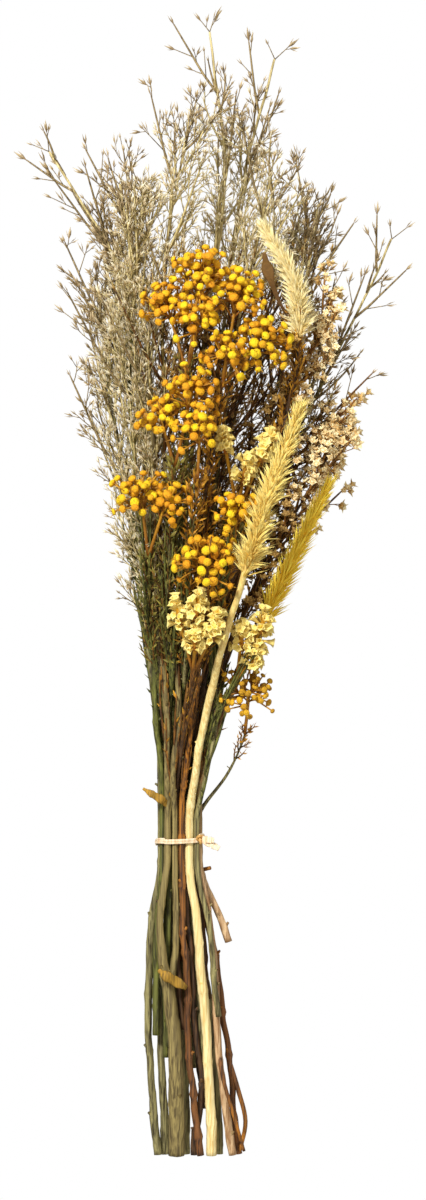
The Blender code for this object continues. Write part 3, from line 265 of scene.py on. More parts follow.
def read_at(value, scale, points):
    """The point at a value, or the points at several, where the scale has each given point's value."""
    return np.stack([np.interp(value, scale, points[:, i]) for i in range(3)], -1)


def cubic(t, span, start, end, start_slope, end_slope):
    """The cubic between two values that has the given slopes there, at share t of the span."""
    return (
        (2 * t**3 - 3 * t**2 + 1) * start
        + (t**3 - 2 * t**2 + t) * span * start_slope
        + (3 * t**2 - 2 * t**3) * end
        + (t**3 - t**2) * span * end_slope
    )


def curve_through(knots, values):
    """A smooth curve through the knots (y rising, x, z), read at the given y values.

    Each stretch is a cubic whose end slopes are the mean of the slopes beside it. At the two ends
    of the tie the slope is nought, so that the stems run parallel there.
    """
    knots = np.asarray(knots, float)
    y, places = knots[:, 1], knots[:, [0, 2]]
    steps = np.diff(places, axis=0) / np.diff(y)[:, None]
    slopes = np.vstack([steps[:1], (steps[1:] + steps[:-1]) / 2, steps[-1:]])
    slopes[np.abs(np.abs(y) - WAIST) < 1e-6] = 0.0
    k = np.clip(np.searchsorted(y, values, side="right") - 1, 0, len(y) - 2)
    span = (y[k + 1] - y[k])[:, None]
    t = (values - y[k])[:, None] / span
    found = cubic(t, span, places[k], places[k + 1], slopes[k], slopes[k + 1])
    return np.column_stack([found[:, 0], values, found[:, 1]])


def bend(start, direction, length, towards, steps):
    """A shoot that leaves start along direction and bends a little towards another direction."""
    points = [np.asarray(start, float)]
    for k in range(steps):
        heading = unit(direction + towards * (0.5 * (k + 0.5) / steps))
        points.append(points[-1] + heading * length / steps)
    return np.array(points)


# %% [markdown]
# ## Room for every twig
# In a real bunch the twigs lie between each other and don't pass through. So every grown shape is
# entered as a row of capsules, straight stretches with a radius, and a new twig is tried against the
# capsules of the other plants before it may stay.

# %% The book of room
def segment_gaps(a0, a1, b0, b1):
    """The distance from each segment a to each segment b, as a table."""
    da, db, apart = (a1 - a0)[:, None], (b1 - b0)[None], a0[:, None] - b0[None]
    aa, bb, ab = (da * da).sum(-1) + 1e-9, (db * db).sum(-1) + 1e-9, (da * db).sum(-1)
    ca, cb = (da * apart).sum(-1), (db * apart).sum(-1)
    s = np.clip((ab * cb - ca * bb) / np.maximum(aa * bb - ab * ab, 1e-9), 0, 1)
    t = np.clip((ab * s + cb) / bb, 0, 1)
    s = np.clip((ab * t - ca) / aa, 0, 1)
    return np.linalg.norm(apart + s[..., None] * da - t[..., None] * db, axis=-1)


class Bunch:
    """Everything that has grown: each node's shapes, and the capsules of space that they fill."""

    def __init__(self):
        self.nodes = {}
        self.starts = np.zeros((0, 3))
        self.ends = np.zeros((0, 3))
        self.radii = np.zeros(0)
        self.owners = np.zeros(0, int)

    def is_clear(self, node, points, radii, gap=TWIG_GAP):
        """Whether a tube through points keeps the gap to every other node and stays above the table."""
        points, radii = np.asarray(points, float), np.asarray(radii, float)
        if (points[:, 2] < radii * 0.98).any():
            return False
        reach = radii.max() + gap
        low, high = points.min(0) - reach, points.max(0) + reach
        near = (
            (np.minimum(self.starts, self.ends) - self.radii[:, None] < high).all(1)
            & (np.maximum(self.starts, self.ends) + self.radii[:, None] > low).all(1)
            & (self.owners != self.number(node))
        )
        if not near.any():
            return True
        gaps = segment_gaps(points[:-1], points[1:], self.starts[near], self.ends[near])
        own = np.maximum(radii[:-1], radii[1:])[:, None]
        return bool((gaps - own - self.radii[near][None] > gap).all())

    def number(self, node):
        return list(self.nodes).index(node) if node in self.nodes else len(self.nodes)

    def add(self, node, kind, points, radii):
        points, radii = np.asarray(points, float), np.asarray(radii, float)
        self.nodes.setdefault(node, []).append((kind, points, radii))
        self.starts = np.vstack([self.starts, points[:-1]])
        self.ends = np.vstack([self.ends, points[1:]])
        self.radii = np.append(self.radii, np.maximum(radii[:-1], radii[1:]))
        self.owners = np.append(self.owners, np.full(len(points) - 1, self.number(node)))

    def add_if_clear(self, node, kind, points, radii):
        """Adds a shape if there is room for it, and returns whether there was."""
        clear = self.is_clear(node, points, radii)
        if clear:
            self.add(node, kind, points, radii)
        return clear


# %% [markdown]
# ## The stems in the tie
# The raffia presses the stems into a tight, roughly round pack. Circles that shrink towards the
# middle and push each other apart settle into such a pack. Away from the tie, each stem would like to
# run to its own head.

# %% Pack the stems in the tie
def packed_slots(plants):
    """Where each stem lies in the tie, once the stems are pressed together without touching."""
    names = list(plants)
    places = np.array([plants[n]["slot"] for n in names], float)
    radii = np.array([plants[n]["radius"] for n in names])
    least = radii[:, None] + radii[None] + STEM_GAP
    np.fill_diagonal(least, 0.0)
    for step in range(PACK_STEPS):
        if step < PRESS_STEPS:
            places *= PRESS_FACTOR
        offset = places[:, None] - places[None]
        distance = np.maximum(np.linalg.norm(offset, axis=-1), 1e-6)
        push = np.maximum(least - distance, 0.0) * 0.5
        places = places + (offset / distance[..., None] * push[..., None]).sum(1) * PACK_PUSH
    return dict(zip(names, places))


def spread_at(row, slot):
    """Where a stem of the given slot lies on one of SPREAD's levels."""
    y, middle_x, middle_z, wide, high = row
    return (middle_x + wide * slot[0], y, middle_z + high * slot[1])


def wanted_line(name, plants, slots):
    """Where a stem would run if it were alone: its place on each of LEVELS, with its last point."""
    plant = plants[name]
    slot = slots[name]
    low = np.array([spread_at(row, slot) for row in SPREAD[:4]])
    low[:, 0] = plant.get("below", low[:, 0])
    low = low[LOWEST_BEND.get(name, 0):]
    if "fork_of" in plant:
        low = np.vstack([wanted_line(plant["fork_of"], plants, slots)[0][FORK_LEVEL], low[-1]])
    waist = [(slot[0], -WAIST, TIE_Z + slot[1]), (slot[0], WAIST, TIE_Z + slot[1])]
    high = [*plant["via"], *plant.get("head", ())]
    if high[0][1] > 75:
        high = [spread_at(SPREAD[4], slot), *high]
    knots = np.array([*low, *waist, *high], float)
    top = knots[-1, 1]
    here = (LEVELS > low[0][1] - 4) & (LEVELS < top + 0.5)
    last = np.flatnonzero(here)[-1]
    line = curve_through(knots, np.clip(LEVELS, knots[0, 1], top))
    if top > LEVELS[last] + 6:
        here[last + 1] = True
        grown = (LEVELS[last + 1] - LEVELS[last]) / (top - LEVELS[last])
        line[last + 1] = line[last] + (line[last + 1] - line[last]) * grown
    line[:, 1] = LEVELS
    return line, here, top


def stem_radii(plant, line, top):
    """A stem's radius on each level: a little thicker at the foot, thin at the head."""
    tall = np.clip((line[:, 1] - WAIST) / (top - WAIST), 0, 1)
    short = np.clip((-WAIST - line[:, 1]) / (-WAIST - FOOT_Y), 0, 1)
    radii = plant["radius"] * (1 - plant.get("taper", HEAD_TAPER) * tall + FOOT_FLARE * short)
    if "trunk" in plant:
        trunk = np.interp(line[:, 1], LEVELS[1:4], (plant["trunk"], plant["trunk"] * 0.8, 0))
        radii = np.maximum(radii, trunk)
    return radii


# %% [markdown]
# ## The stems press each other aside
# The lines that the stems would like to take run through each other. Every pair that comes too
# close is pushed apart, a little each round, and the shift is smoothed along the stem so that it
# bends like wood. The heads push too, so a stem passes beside a flower and not through it.

# %% Settle the stems
def heads_in_the_way(plants, names):
    """The room that each papery head and button cluster takes up, on each stretch that it reaches.

    Every row is (owner, stretch, where it begins and ends on the stretch, middle, radius).
    """
    rooms = []
    for name, plant in plants.items():
        heads = []
        if name in STATICE:
            heads = [(np.add(low, high) / 2, size, size * 1.2) for low, high, size in plant["heads"]]
        if name in BUTTONS:
            heads = [(np.array(at), spread * 0.6, spread * 0.5) for at, spread, _, _ in plant["heads"]]
        for middle, size, reach in heads:
            for k in range(len(LEVELS) - 1):
                span = LEVELS[k + 1] - LEVELS[k]
                start, end = np.clip((middle[1] + np.array([-reach, reach]) - LEVELS[k]) / span, 0, 1)
                if end > start:
                    rooms.append((names.index(name), k, start, end, middle[0], middle[2], size))
    return np.array(rooms)


def nearest_nought(start, change, low, high):
    """Where straight runs come nearest to nought: the share of the run, that place and its distance."""
    t = np.clip(-(start * change).sum(-1) / ((change**2).sum(-1) + 1e-9), low, high)
    nearest = start + t[..., None] * change
    return t, nearest, np.maximum(np.linalg.norm(nearest, axis=-1), 1e-3)


def pushed_by_stems(places, wide, first, second, both):
    """The shift that frees each pair of stems, on every stretch that both of them pass.

    Both move at the place where they come closest, which is shared out to the stretch's two ends.
    """
    slopes = np.diff(places, axis=1) / np.diff(LEVELS)[None, :, None]
    slant = np.sqrt(1 + (slopes**2).sum(-1))
    start = places[first][:, :-1] - places[second][:, :-1]
    change = places[first][:, 1:] - places[second][:, 1:] - start
    t, nearest, distance = nearest_nought(start, change, 0, 1)
    size = (wide[:, :-1] + wide[:, 1:]) / 2
    least = (size[first] + size[second]) * np.maximum(slant[first], slant[second]) + STEM_GAP * 1.3
    lack = np.where(both, np.maximum(least - distance, 0), 0)
    push = nearest / distance[..., None] * lack[..., None] * STEM_PUSH
    shift = np.zeros_like(places)
    for stems, way in ((first, 1), (second, -1)):
        np.add.at(shift[:, :-1], stems, way * push * (1 - t)[..., None])
        np.add.at(shift[:, 1:], stems, way * push * t[..., None])
    return shift


def pushed_by_heads(places, radii, rooms, exposed):
    """The shift that takes the stems out of the heads' rooms, on the stretches that those reach."""
    stretch = rooms[:, 1].astype(int)
    start = places[:, stretch] - rooms[:, 4:6]
    change = places[:, stretch + 1] - places[:, stretch]
    t, nearest, distance = nearest_nought(start, change, rooms[:, 2], rooms[:, 3])
    lack = np.where(exposed, np.maximum(rooms[:, 6] + radii[:, stretch] + STEM_GAP - distance, 0), 0)
    push = nearest / distance[..., None] * lack[..., None] * HEAD_PUSH
    shift = np.zeros_like(places)
    for k in range(len(rooms)):
        shift[:, stretch[k]] += push[:, k] * (1 - t[:, k])[:, None]
        shift[:, stretch[k] + 1] += push[:, k] * t[:, k][:, None]
    return shift


def trimmed(plant, points, radii, top):
    """A settled stem, ended at its top, or inside its spike's head, and at its cut foot."""
    if "head" in plant:
        top = plant["head"][0][1] + TIP_REACH
        last = np.searchsorted(points[:, 1], top)
        points, radii = points[: last + 1], radii[: last + 1]
    if points[-1, 1] > top:
        t = (top - points[-2, 1]) / (points[-1, 1] - points[-2, 1])
        points[-1] = points[-2] + (points[-1] - points[-2]) * t
    if "cut" in plant:
        t = (plant["cut"] - points[1, 1]) / (points[0, 1] - points[1, 1])
        points[0] = points[1] + (points[0] - points[1]) * t
    return points, radii


def settle_stems(plants, slots):
    """Lets all the stems press each other aside until none touches, and returns their lines.

    Each round pushes apart what is too close. Each stem's shift from its wanted line is then
    smoothed along it, so that it bends gently. In the tie the stems stay in their places.
    """
    names = list(plants)
    drawn = [wanted_line(name, plants, slots) for name in names]
    wanted = np.array([line[:, [0, 2]] for line, _, _ in drawn])
    here = np.array([h for _, h, _ in drawn])
    radii = np.array([stem_radii(plants[n], d[0], d[2]) for n, d in zip(names, drawn)])
    wide = radii.copy()
    for i, name in enumerate(names):
        if name in SPIKES:
            wide[i, LEVELS >= plants[name]["head"][0][1] - 2] = HEAD_ROOM
    roots = np.array([plants[n].get("fork_of", n) for n in names])
    first, second = np.triu_indices(len(names), 1)
    apart = roots[first] != roots[second]
    first, second = first[apart], second[apart]
    passed = here[:, :-1] & here[:, 1:]
    both = passed[first] & passed[second]
    rooms = heads_in_the_way(plants, names)
    exposed = passed[:, rooms[:, 1].astype(int)] & (roots[:, None] != roots[rooms[:, 0].astype(int)][None])
    in_tie = np.abs(np.abs(LEVELS) - WAIST) < 1e-6
    places = wanted.copy()
    for step in range(SETTLE_STEPS):
        shift = pushed_by_stems(places, wide, first, second, both)
        shift += pushed_by_heads(places, radii, rooms, exposed)
        moved = places + shift - wanted
        if step < SETTLE_STEPS * SMOOTH_SHARE:
            moved[:, 1:-1] = OWN_SHARE * moved[:, 1:-1] + SIDE_SHARE * (moved[:, :-2] + moved[:, 2:])
            moved *= RETURN_FACTOR
        places = wanted + moved
        places[:, in_tie] = wanted[:, in_tie]
        places[..., 1] = np.maximum(places[..., 1], radii * 1.02)
    lines = {}
    for i, name in enumerate(names):
        points = np.column_stack([places[i, :, 0], LEVELS, places[i, :, 1]])[here[i]]
        lines[name] = trimmed(plants[name], points, radii[i, here[i]], drawn[i][2])
    return lines


# %% [markdown]
# ## Sprays
# Sea lavender carries its flowers on branches that fork again and again, and each branch stands about
# 137.5 degrees round from the one below. That golden angle keeps the branches out of each other's
# light, and here it keeps the spray even on all sides.

# %% Grow the sprays
END_SHAPES = {
    "spikelet": dict(along=(0.0, 0.66, 1.0), radii=(0.42, 0.95, 0.0)),
    "floret": dict(along=(0.0, 0.6, 1.0), radii=(0.42, 0.7, 2.3)),
}


def way_out(places, middle, size):
    """How far out the places lie, seen from above, where 1 is on the rim of the ellipse."""
    return np.linalg.norm((places[..., :2] - middle) / size, axis=-1)


def fullness(places):
    """How full the bouquet is at the places: 1 in its middle, falling off past the full ellipse."""
    return np.clip(2.2 - FULL_FALL * way_out(places, FULL_MIDDLE, FULL_SIZE), SPARSEST, 1.0)


def grow_spray(bunch, node, crown, habit, rng):
    """Side branches up the crown, each with twigs on alternate sides; all end in a bud or a floret."""
    lengths = np.r_[0, np.cumsum(np.linalg.norm(np.diff(crown, axis=0), axis=1))]
    for k in range(habit["branches"]):
        t = (k + 0.3) / habit["branches"]
        base = read_at(t * lengths[-1], lengths, crown)
        axis = unit(read_at(t * lengths[-1] + 3, lengths, crown) - base)
        full = float(fullness(base))
        length = habit["branch_length"] * (1.1 - 0.4 * t) * (0.2 + 0.8 * full) * rng.uniform(0.85, 1.15)
        twig_length = habit["twig_length"] * (0.5 + 0.5 * full)
        around = k * GOLDEN_ANGLE + rng.uniform(-0.4, 0.4)
        for attempt in range(10):
            direction = turned(axis, math.radians(rng.uniform(*BRANCH_LEAN)), around + attempt * 0.7)
            branch = bend(base, direction, length * (1 - 0.05 * attempt), axis, 2)
            branch = grow_tipped(bunch, node, branch, habit, rng)
            if branch is not None:
                grow_twigs(bunch, node, branch, dict(habit, twig_length=twig_length), rng)
                break
    for around in (0.3, 0.3 + math.pi):
        last = dict(habit, twig_length=habit["twig_length"] * 0.6)
        twig_from(bunch, node, crown[-1], unit(crown[-1] - crown[-2]), around, last, rng)


def grow_tipped(bunch, node, branch, habit, rng):
    """Adds a branch that carries on into its own last bud or floret, if there is room for it.

    It returns the branch's line as it lies, or None.
    """
    ending = END_SHAPES[habit["ending"]]
    onwards = unit(branch[-1] - branch[-2])
    length = habit["twig_length"] * rng.uniform(0.8, 1.1)
    points = np.vstack([branch, branch[-1] + np.outer(ending["along"][1:], onwards) * length])
    radii = np.r_[np.linspace(0.8, 0.5, len(branch)), ending["radii"][1:]]
    points[1:, 2] = np.maximum(points[1:, 2], np.maximum(radii[1:], 0.5))
    return points[: len(branch)] if bunch.add_if_clear(node, habit["ending"], points, radii) else None


def grow_twigs(bunch, node, branch, habit, rng):
    """Twigs on alternate sides of a branch, from near its middle to near its end."""
    for k in range(habit["twigs"]):
        t = 0.4 + 0.5 * k / max(habit["twigs"] - 1, 1)
        index = t * (len(branch) - 1)
        low = min(int(index), len(branch) - 2)
        base = branch[low] + (branch[low + 1] - branch[low]) * (index - low)
        axis = unit(branch[low + 1] - branch[low])
        twig_from(bunch, node, base, axis, k * math.pi + rng.uniform(-0.7, 0.7), habit, rng)


def twig_from(bunch, node, base, axis, around, habit, rng):
    """One twig with its bud or floret, turned on round its parent until it finds room."""
    ending = END_SHAPES[habit["ending"]]
    for attempt in range(7):
        direction = turned(axis, math.radians(rng.uniform(*TWIG_LEAN)), around + attempt * 0.9)
        length = habit["twig_length"] * rng.uniform(0.8, 1.2)
        points = base + np.outer(ending["along"], direction) * length
        radii = np.array(ending["radii"])
        points[1:, 2] = np.maximum(points[1:, 2], np.maximum(radii[1:], 0.5))
        if bunch.add_if_clear(node, habit["ending"], points, radii):
            return


# %% [markdown]
# ## Heads
# The three feathery spikes have a slim core, the papery statice sits in tufts, and the button flowers
# stand in flat-topped clusters: each stalk leaves the stem lower down the further out its button is.

# %% Grow the heads
def grow_spike(bunch, node, plant):
    """A feathery head: its line from base to tip, and how thick its slim core is on each step."""
    path = np.asarray(plant["head"], float)
    steps = np.linspace(0, 1, plant["rings"] + 1)
    spine = curve_through(path, path[0, 1] + steps * (path[-1, 1] - path[0, 1]))
    shape = np.sin(np.pi * np.clip(0.14 + 0.80 * steps, 0, 1)) ** 0.7
    bunch.nodes[node].append(("spike", spine, plant["core"] * shape))
    bunch.add(node, "room", spine, plant["width"] * shape)


def grow_statice(bunch, node, start, low, high, size):
    """A papery head, raised until it is clear of the stems near it, and the branch that carries it."""
    low, high = np.asarray(low, float), np.asarray(high, float)
    steps = np.linspace(-0.2, 1.2, 5)
    for lift in range(0, 40, 2):
        spine = low + np.outer(steps, high - low) + UP * lift
        link = np.array([start, spine[2]])
        reach = size * np.sin(np.pi * np.linspace(0.2, 0.8, 5)) ** 0.5
        if bunch.is_clear(node, spine, reach) and bunch.is_clear(node, link, [0.9, 0.9]):
            bunch.nodes[node].append(("statice", spine, np.full(5, size)))
            bunch.add(node, "room", spine, reach)
            bunch.add(node, "branch", link, [0.9, 0.9])
            return
    print("no room for a statice head of", node)


def grow_corymb(bunch, node, start, centre, spread, count, size, rng):
    """A flat-topped cluster: stalks leave a short axis at several heights and end in buttons.

    The buttons lie by the golden angle on a shallow dome, at spread times the root of their rank.
    """
    centre = np.asarray(centre, float)
    for lift in range(0, 24, 2):
        middle = centre + UP * lift
        facing = unit(unit(middle - start) + CLUSTER_RISE * UP)
        axis = np.array([start, (start + middle) / 2 + facing * 1.5, middle - facing * spread * 0.35])
        if bunch.is_clear(node, axis, [0.9, 0.8, 0.7]):
            break
    else:
        print("no room for a cluster of", node)
        return
    bunch.add(node, "branch", axis, [0.95, 0.85, 0.7])
    side, over = across(facing)
    for k in range(count):
        out = spread * math.sqrt((k + 0.4) / count)
        angle = k * GOLDEN_ANGLE + rng.uniform(-0.15, 0.15)
        outwards = math.cos(angle) * side + math.sin(angle) * over
        place = middle + out * outwards - facing * (CLUSTER_DROP * out**2 / spread)
        t = 1 - 0.75 * out / spread
        root = axis[1] + (axis[2] - axis[1]) * t
        for lift in BUTTON_LIFTS:
            at = place + facing * (lift + rng.uniform(-0.8, 0.8))
            stalk, thin = np.array([root, at]), np.full(2, STALK_RADIUS)
            ball, wide = at + np.outer([-0.25, 0.25], unit(at - root)) * size, np.full(2, size)
            if bunch.is_clear(node, ball, wide) and bunch.is_clear(node, stalk, thin):
                bunch.add(node, "room", stalk, thin)
                bunch.add(node, "room", ball, wide)
                bunch.nodes[node].append(("button", stalk, np.array([STALK_RADIUS, size])))
                break


# %% [markdown]
# ## Leaves, side shoots and the tie
# A few dried leaves and stubs were left on when the stems were stripped. The raffia goes round the
# outermost stems, pulled tight, with a knot at the front and two short tails.

# %% Grow the off-cuts and the tie
# Dried leaves and side shoots: the stem, the kind, its y, offsets from there, and half-widths
OFFCUTS = (
    # The first leaf, beside the first cream spike's head, is a dark thing put where there is shadow
    ("cream_spike_1", "leaf", 268, ((-7, 10, 5), (-11, 19, 9), (-14, 28, 12), (-16, 37, 14)),
        (0.7, 0.7, 1.0, 2.4, 0.7)),
    ("button_flower_6", "leaf", -78, ((-1, 1, 6), (-6, 4, 8), (-11, 7, 9), (-15, 10, 7)),
        (0.9, 1.2, 2.2, 2.0, 0.6)),
    ("sea_lavender_2", "leaf", 18, ((-3, 3, 4), (-8, 6, 5), (-13, 9, 3)), (1.0, 1.7, 1.5, 0.5)),
    ("bare_stem_long", "shoot", -116, ((5, -16, 0), (9, -33, -1), (6, -49, -2)), (1.3, 1.3, 1.2, 1.1)),
    ("golden_spike", "shoot", -112, ((2, -14, 3), (9, -38, 3), (13, -52, 1)), (1.2, 1.2, 1.1, 0.8)),
    ("bare_stem_short", "shoot", -16, ((4, 1, 2),), (1.1, 1.0)),
)


def grow_offcuts(bunch, rng):
    """The dried leaves and the side shoots that are left on the stems, each from its place in OFFCUTS."""
    for node, kind, y, offsets, radii in OFFCUTS:
        stem = bunch.nodes[node][0][1]
        base = read_at(y, stem[:, 1], stem)
        for attempt in range(60):
            stretch = 1 + 0.06 * attempt
            points = np.vstack([[0.0, 0.0, 0.0], offsets]) * np.array([1.0, 1.0, stretch])
            points[1:, :2] += [rng.uniform(-0.05, 0.05) * attempt, rng.uniform(-0.05, 0.05) * attempt]
            points = base + points
            points[:, 2] = np.maximum(points[:, 2], radii)
            if bunch.add_if_clear(node, kind, points, radii):
                break


def band_path(slots, plants, offset):
    """The line of a strip pulled tight round the stems: the outermost stem's side in each direction."""
    names = list(plants)
    places = np.array([slots[n] for n in names])
    radii = np.array([plants[n]["radius"] for n in names])
    points = []
    for angle in np.linspace(0, 2 * math.pi, BAND_STEPS, endpoint=False):
        normal = np.array([math.cos(angle), math.sin(angle)])
        outermost = (places @ normal + radii).argmax()
        x, z = places[outermost] + normal * (radii[outermost] + offset)
        points.append((x, 1.5 * math.cos(angle) + 0.7 * math.sin(3 * angle), TIE_Z + z))
    return np.array(points)


def grow_bunch():
    """Grows the whole bouquet. Returns it, the strip's line round the tie and the stems' lines."""
    rng = random.Random(SEED)
    bunch = Bunch()
    slots = packed_slots(PLANTS)
    stems = settle_stems(PLANTS, slots)
    for name, (points, radii) in stems.items():
        bunch.add(PLANTS[name].get("fork_of", name), "stem", points, radii)
    band = band_path(slots, PLANTS, STEM_GAP + 0.1 + BAND_THICKNESS / 2)
    closed = np.vstack([band, band[:1]])
    bunch.add("raffia_tie", "band", closed, np.full(len(closed), BAND_WIDTH / 2))
    grow_offcuts(bunch, rng)
    for name, plant in SPIKES.items():
        grow_spike(bunch, name, plant)
    for name, plant in STATICE.items():
        for low, high, size in plant["heads"]:
            grow_statice(bunch, name, stems[name][0][-1], low, high, size)
    for name, plant in BUTTONS.items():
        for centre, spread, count, size in plant["heads"]:
            grow_corymb(bunch, name, stems[name][0][-1], centre, spread, count, size, rng)
    for plants, habit in HABITS:
        for name, plant in plants.items():
            points = stems[name][0]
            crown = points[points[:, 1] > plant["via"][0][1] + CROWN_START]
            own_habit = dict(habit, twigs=plant.get("twigs", 3))
            grow_spray(bunch, plant.get("fork_of", name), crown, own_habit, rng)
    knot = band[KNOT_STEP]
    outwards = unit((knot - band.mean(0)) * np.array([1.0, 0.0, 1.0]))
    along = np.cross(outwards, np.array([0.0, 1.0, 0.0]))
    middle = knot + outwards * KNOT_OUT
    bunch.add("raffia_tie", "knot", middle + np.outer((-2.6, -1.3, 1.3, 2.6), along), (0.9, 1.9, 1.9, 0.9))
    for length, rise, drop in TAILS:
        tail = middle + np.outer((0.0, 0.5, 1.0), outwards * 0.45 + np.array([0.75, rise, drop])) * length
        bunch.add("raffia_tie", "leaf", tail, (1.3, 1.4, 1.1))
    return bunch, band, stems


bunch, band, stems = grow_bunch()
print("grown shapes", sum(len(shapes) for shapes in bunch.nodes.values()), "in", len(bunch.nodes), "nodes")

# %% [markdown]
# ## Where the bunch lies in the frame
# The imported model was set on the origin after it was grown. Two things that the rules give exactly
# show by how much: the strip round the waist for x and z, and the cut foot of the thick cream stem
# for y.

# %% Find the shift to the frame
FOOT_SIDES = 6  # the thick cream stem is six-sided in the model


def foot_low(points, radius, sides):
    """The lowest y of a foot's ring: its middle, plus cosines and sines on two directions across it."""
    along = unit(points[1] - points[0])
    side = across(along)[0]
    angles = 2 * math.pi * np.arange(sides) / sides
    ring = np.outer(np.cos(angles), side) + np.outer(np.sin(angles), np.cross(along, side))
    return (points[0] + radius * ring)[:, 1].min()


def flat_out(vectors):
    """Unit vectors that point the same way as the given ones, but level along the stems."""
    level = vectors * np.array([1.0, 0.0, 1.0])
    return level / np.linalg.norm(level, axis=-1, keepdims=True)


band_low = (band + flat_out(band - band.mean(0)) * BAND_THICKNESS / 2).min(0)
tie_box, foot_box = (np.array(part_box(name)) / MM for name in ("raffia_tie", "cream_spike_2"))
foot_line, foot_radii = stems["cream_spike_2"]
foot_y = foot_low(foot_line, foot_radii[0], FOOT_SIDES)
SHIFT = np.array([band_low[0] - tie_box[0, 0], foot_y - foot_box[0, 1], band_low[2] - tie_box[0, 2]])
print("shift in mm", SHIFT.round(3))

# %% [markdown]
# ## Whole arrays instead of loops
# Thousands of buds are worked out at once. A batch is a set of equal shapes: their corners as one
# array, the faces of one shape, and how far each corner is from base to tip. Copying the faces with
# a growing offset gives the faces of them all.

# %% Batches of shapes
def normal(vectors):
    return vectors / np.maximum(np.linalg.norm(vectors, axis=-1, keepdims=True), 1e-9)


def frames(axes):
    """For each axis, two unit vectors square to it and to each other, in a right-handed order."""
    helper = np.where(np.abs(axes[..., 2:3]) < 0.9, [0.0, 0.0, 1.0], [1.0, 0.0, 0.0])
    side = normal(np.cross(axes, helper))
    return side, np.cross(axes, side)


def sideways(axes, around):
    """For each axis, the unit vector square to it that lies at the angle around it."""
    side, over = frames(axes)
    return np.cos(around)[..., None] * side + np.sin(around)[..., None] * over


def ring_faces(rings, sides):
    """The four-cornered faces between each ring and the next, with corners counted ring by ring."""
    k, j = np.meshgrid(np.arange(rings - 1), np.arange(sides), indexing="ij")
    low, high, n = k * sides, (k + 1) * sides, (j + 1) % sides
    return np.stack([low + j, low + n, high + n, high + j], -1).reshape(-1, 4)


def cap(first, sides, backwards):
    """The fan of triangles that closes a ring whose corners count on from first."""
    j = np.arange(1, sides - 1)
    faces = first + np.stack([np.zeros_like(j), j, j + 1], -1)
    return faces[:, ::-1] if backwards else faces


def batch(corners, face_sets, along):
    """Equal shapes as (corners, faces, along, which shape each corner belongs to)."""
    count, size = corners.shape[:2]
    offsets = (np.arange(count) * size)[:, None, None]
    faces = [(f[None] + offsets).reshape(-1, f.shape[1]) for f in face_sets]
    return corners.reshape(-1, 3), faces, np.tile(along, count), np.repeat(np.arange(count), size)


def tubes(paths, radii, sides, relief=1.0, flat=1.0):
    """Tubes along many paths: each ring is its path's point plus radius times cosine and sine across.

    relief multiplies the radius, by ring and angle. flat squeezes the second direction.
    """
    count, rings = paths.shape[:2]
    axis = normal(np.gradient(paths, axis=1))
    side = frames(normal(axis.mean(1)))[0][:, None]
    side = normal(side - axis * (axis * side).sum(-1, keepdims=True))
    over = np.cross(axis, side)
    angle = 2 * math.pi * np.arange(sides) / sides
    ring = np.cos(angle)[:, None] * side[:, :, None] + flat * np.sin(angle)[:, None] * over[:, :, None]
    size = (np.broadcast_to(radii, (count, rings))[..., None] * relief)[..., None]
    corners = (paths[:, :, None] + size * ring).reshape(count, -1, 3)
    face_sets = [ring_faces(rings, sides), cap(0, sides, True), cap((rings - 1) * sides, sides, False)]
    return batch(corners, face_sets, np.repeat(np.linspace(0, 1, rings), sides))


def scatter(template, places, axes, sizes, rng):
    """Copies of a template, its z turned along each axis, with a random roll, then sized and placed."""
    corners, face_sets, along = template
    x = sideways(axes, rng.uniform(0, 2 * math.pi, len(places)))
    y = np.cross(axes, x)
    sized = corners[None] * np.broadcast_to(sizes.reshape(len(places), -1), (len(places), 3))[:, None]
    rolled = sized[..., :1] * x[:, None] + sized[..., 1:2] * y[:, None] + sized[..., 2:] * axes[:, None]
    return batch(places[:, None] + rolled, face_sets, along)


def smoothed(paths, steps):
    """Paths read anew with so many steps to a stretch, on cubics whose slopes are the means of steps."""
    slopes = np.gradient(paths, axis=1)
    last = paths.shape[1] - 1
    t = np.linspace(0, last, last * steps + 1)
    low = np.minimum(t.astype(int), last - 1)
    t = (t - low)[None, :, None]
    return cubic(t, 1.0, paths[:, low], paths[:, low + 1], slopes[:, low], slopes[:, low + 1])


def read_paths(paths, shares):
    """The points and directions at the given shares of the way along many paths."""
    place = shares * (paths.shape[1] - 1)
    low = np.minimum(place.astype(int), paths.shape[1] - 2)
    rows = np.arange(len(paths))[:, None]
    start, end = paths[rows, low], paths[rows, low + 1]
    return start + (end - start) * (place - low)[..., None], normal(end - start)


def evenly(line, count):
    """One line as a set of one path with so many points."""
    return read_paths(line[None], np.linspace(0, 1, count)[None])[0]


# %% [markdown]
# ## Small shapes to copy
# A bud of sea lavender is three pointed scales on one foot, and a beige floret is a papery star. A
# statice flower is a cup with a waved rim, a button is a dome of tiny florets, and the feathers are
# narrow blades. Each is made once, at unit length along z, with only a few dozen faces.

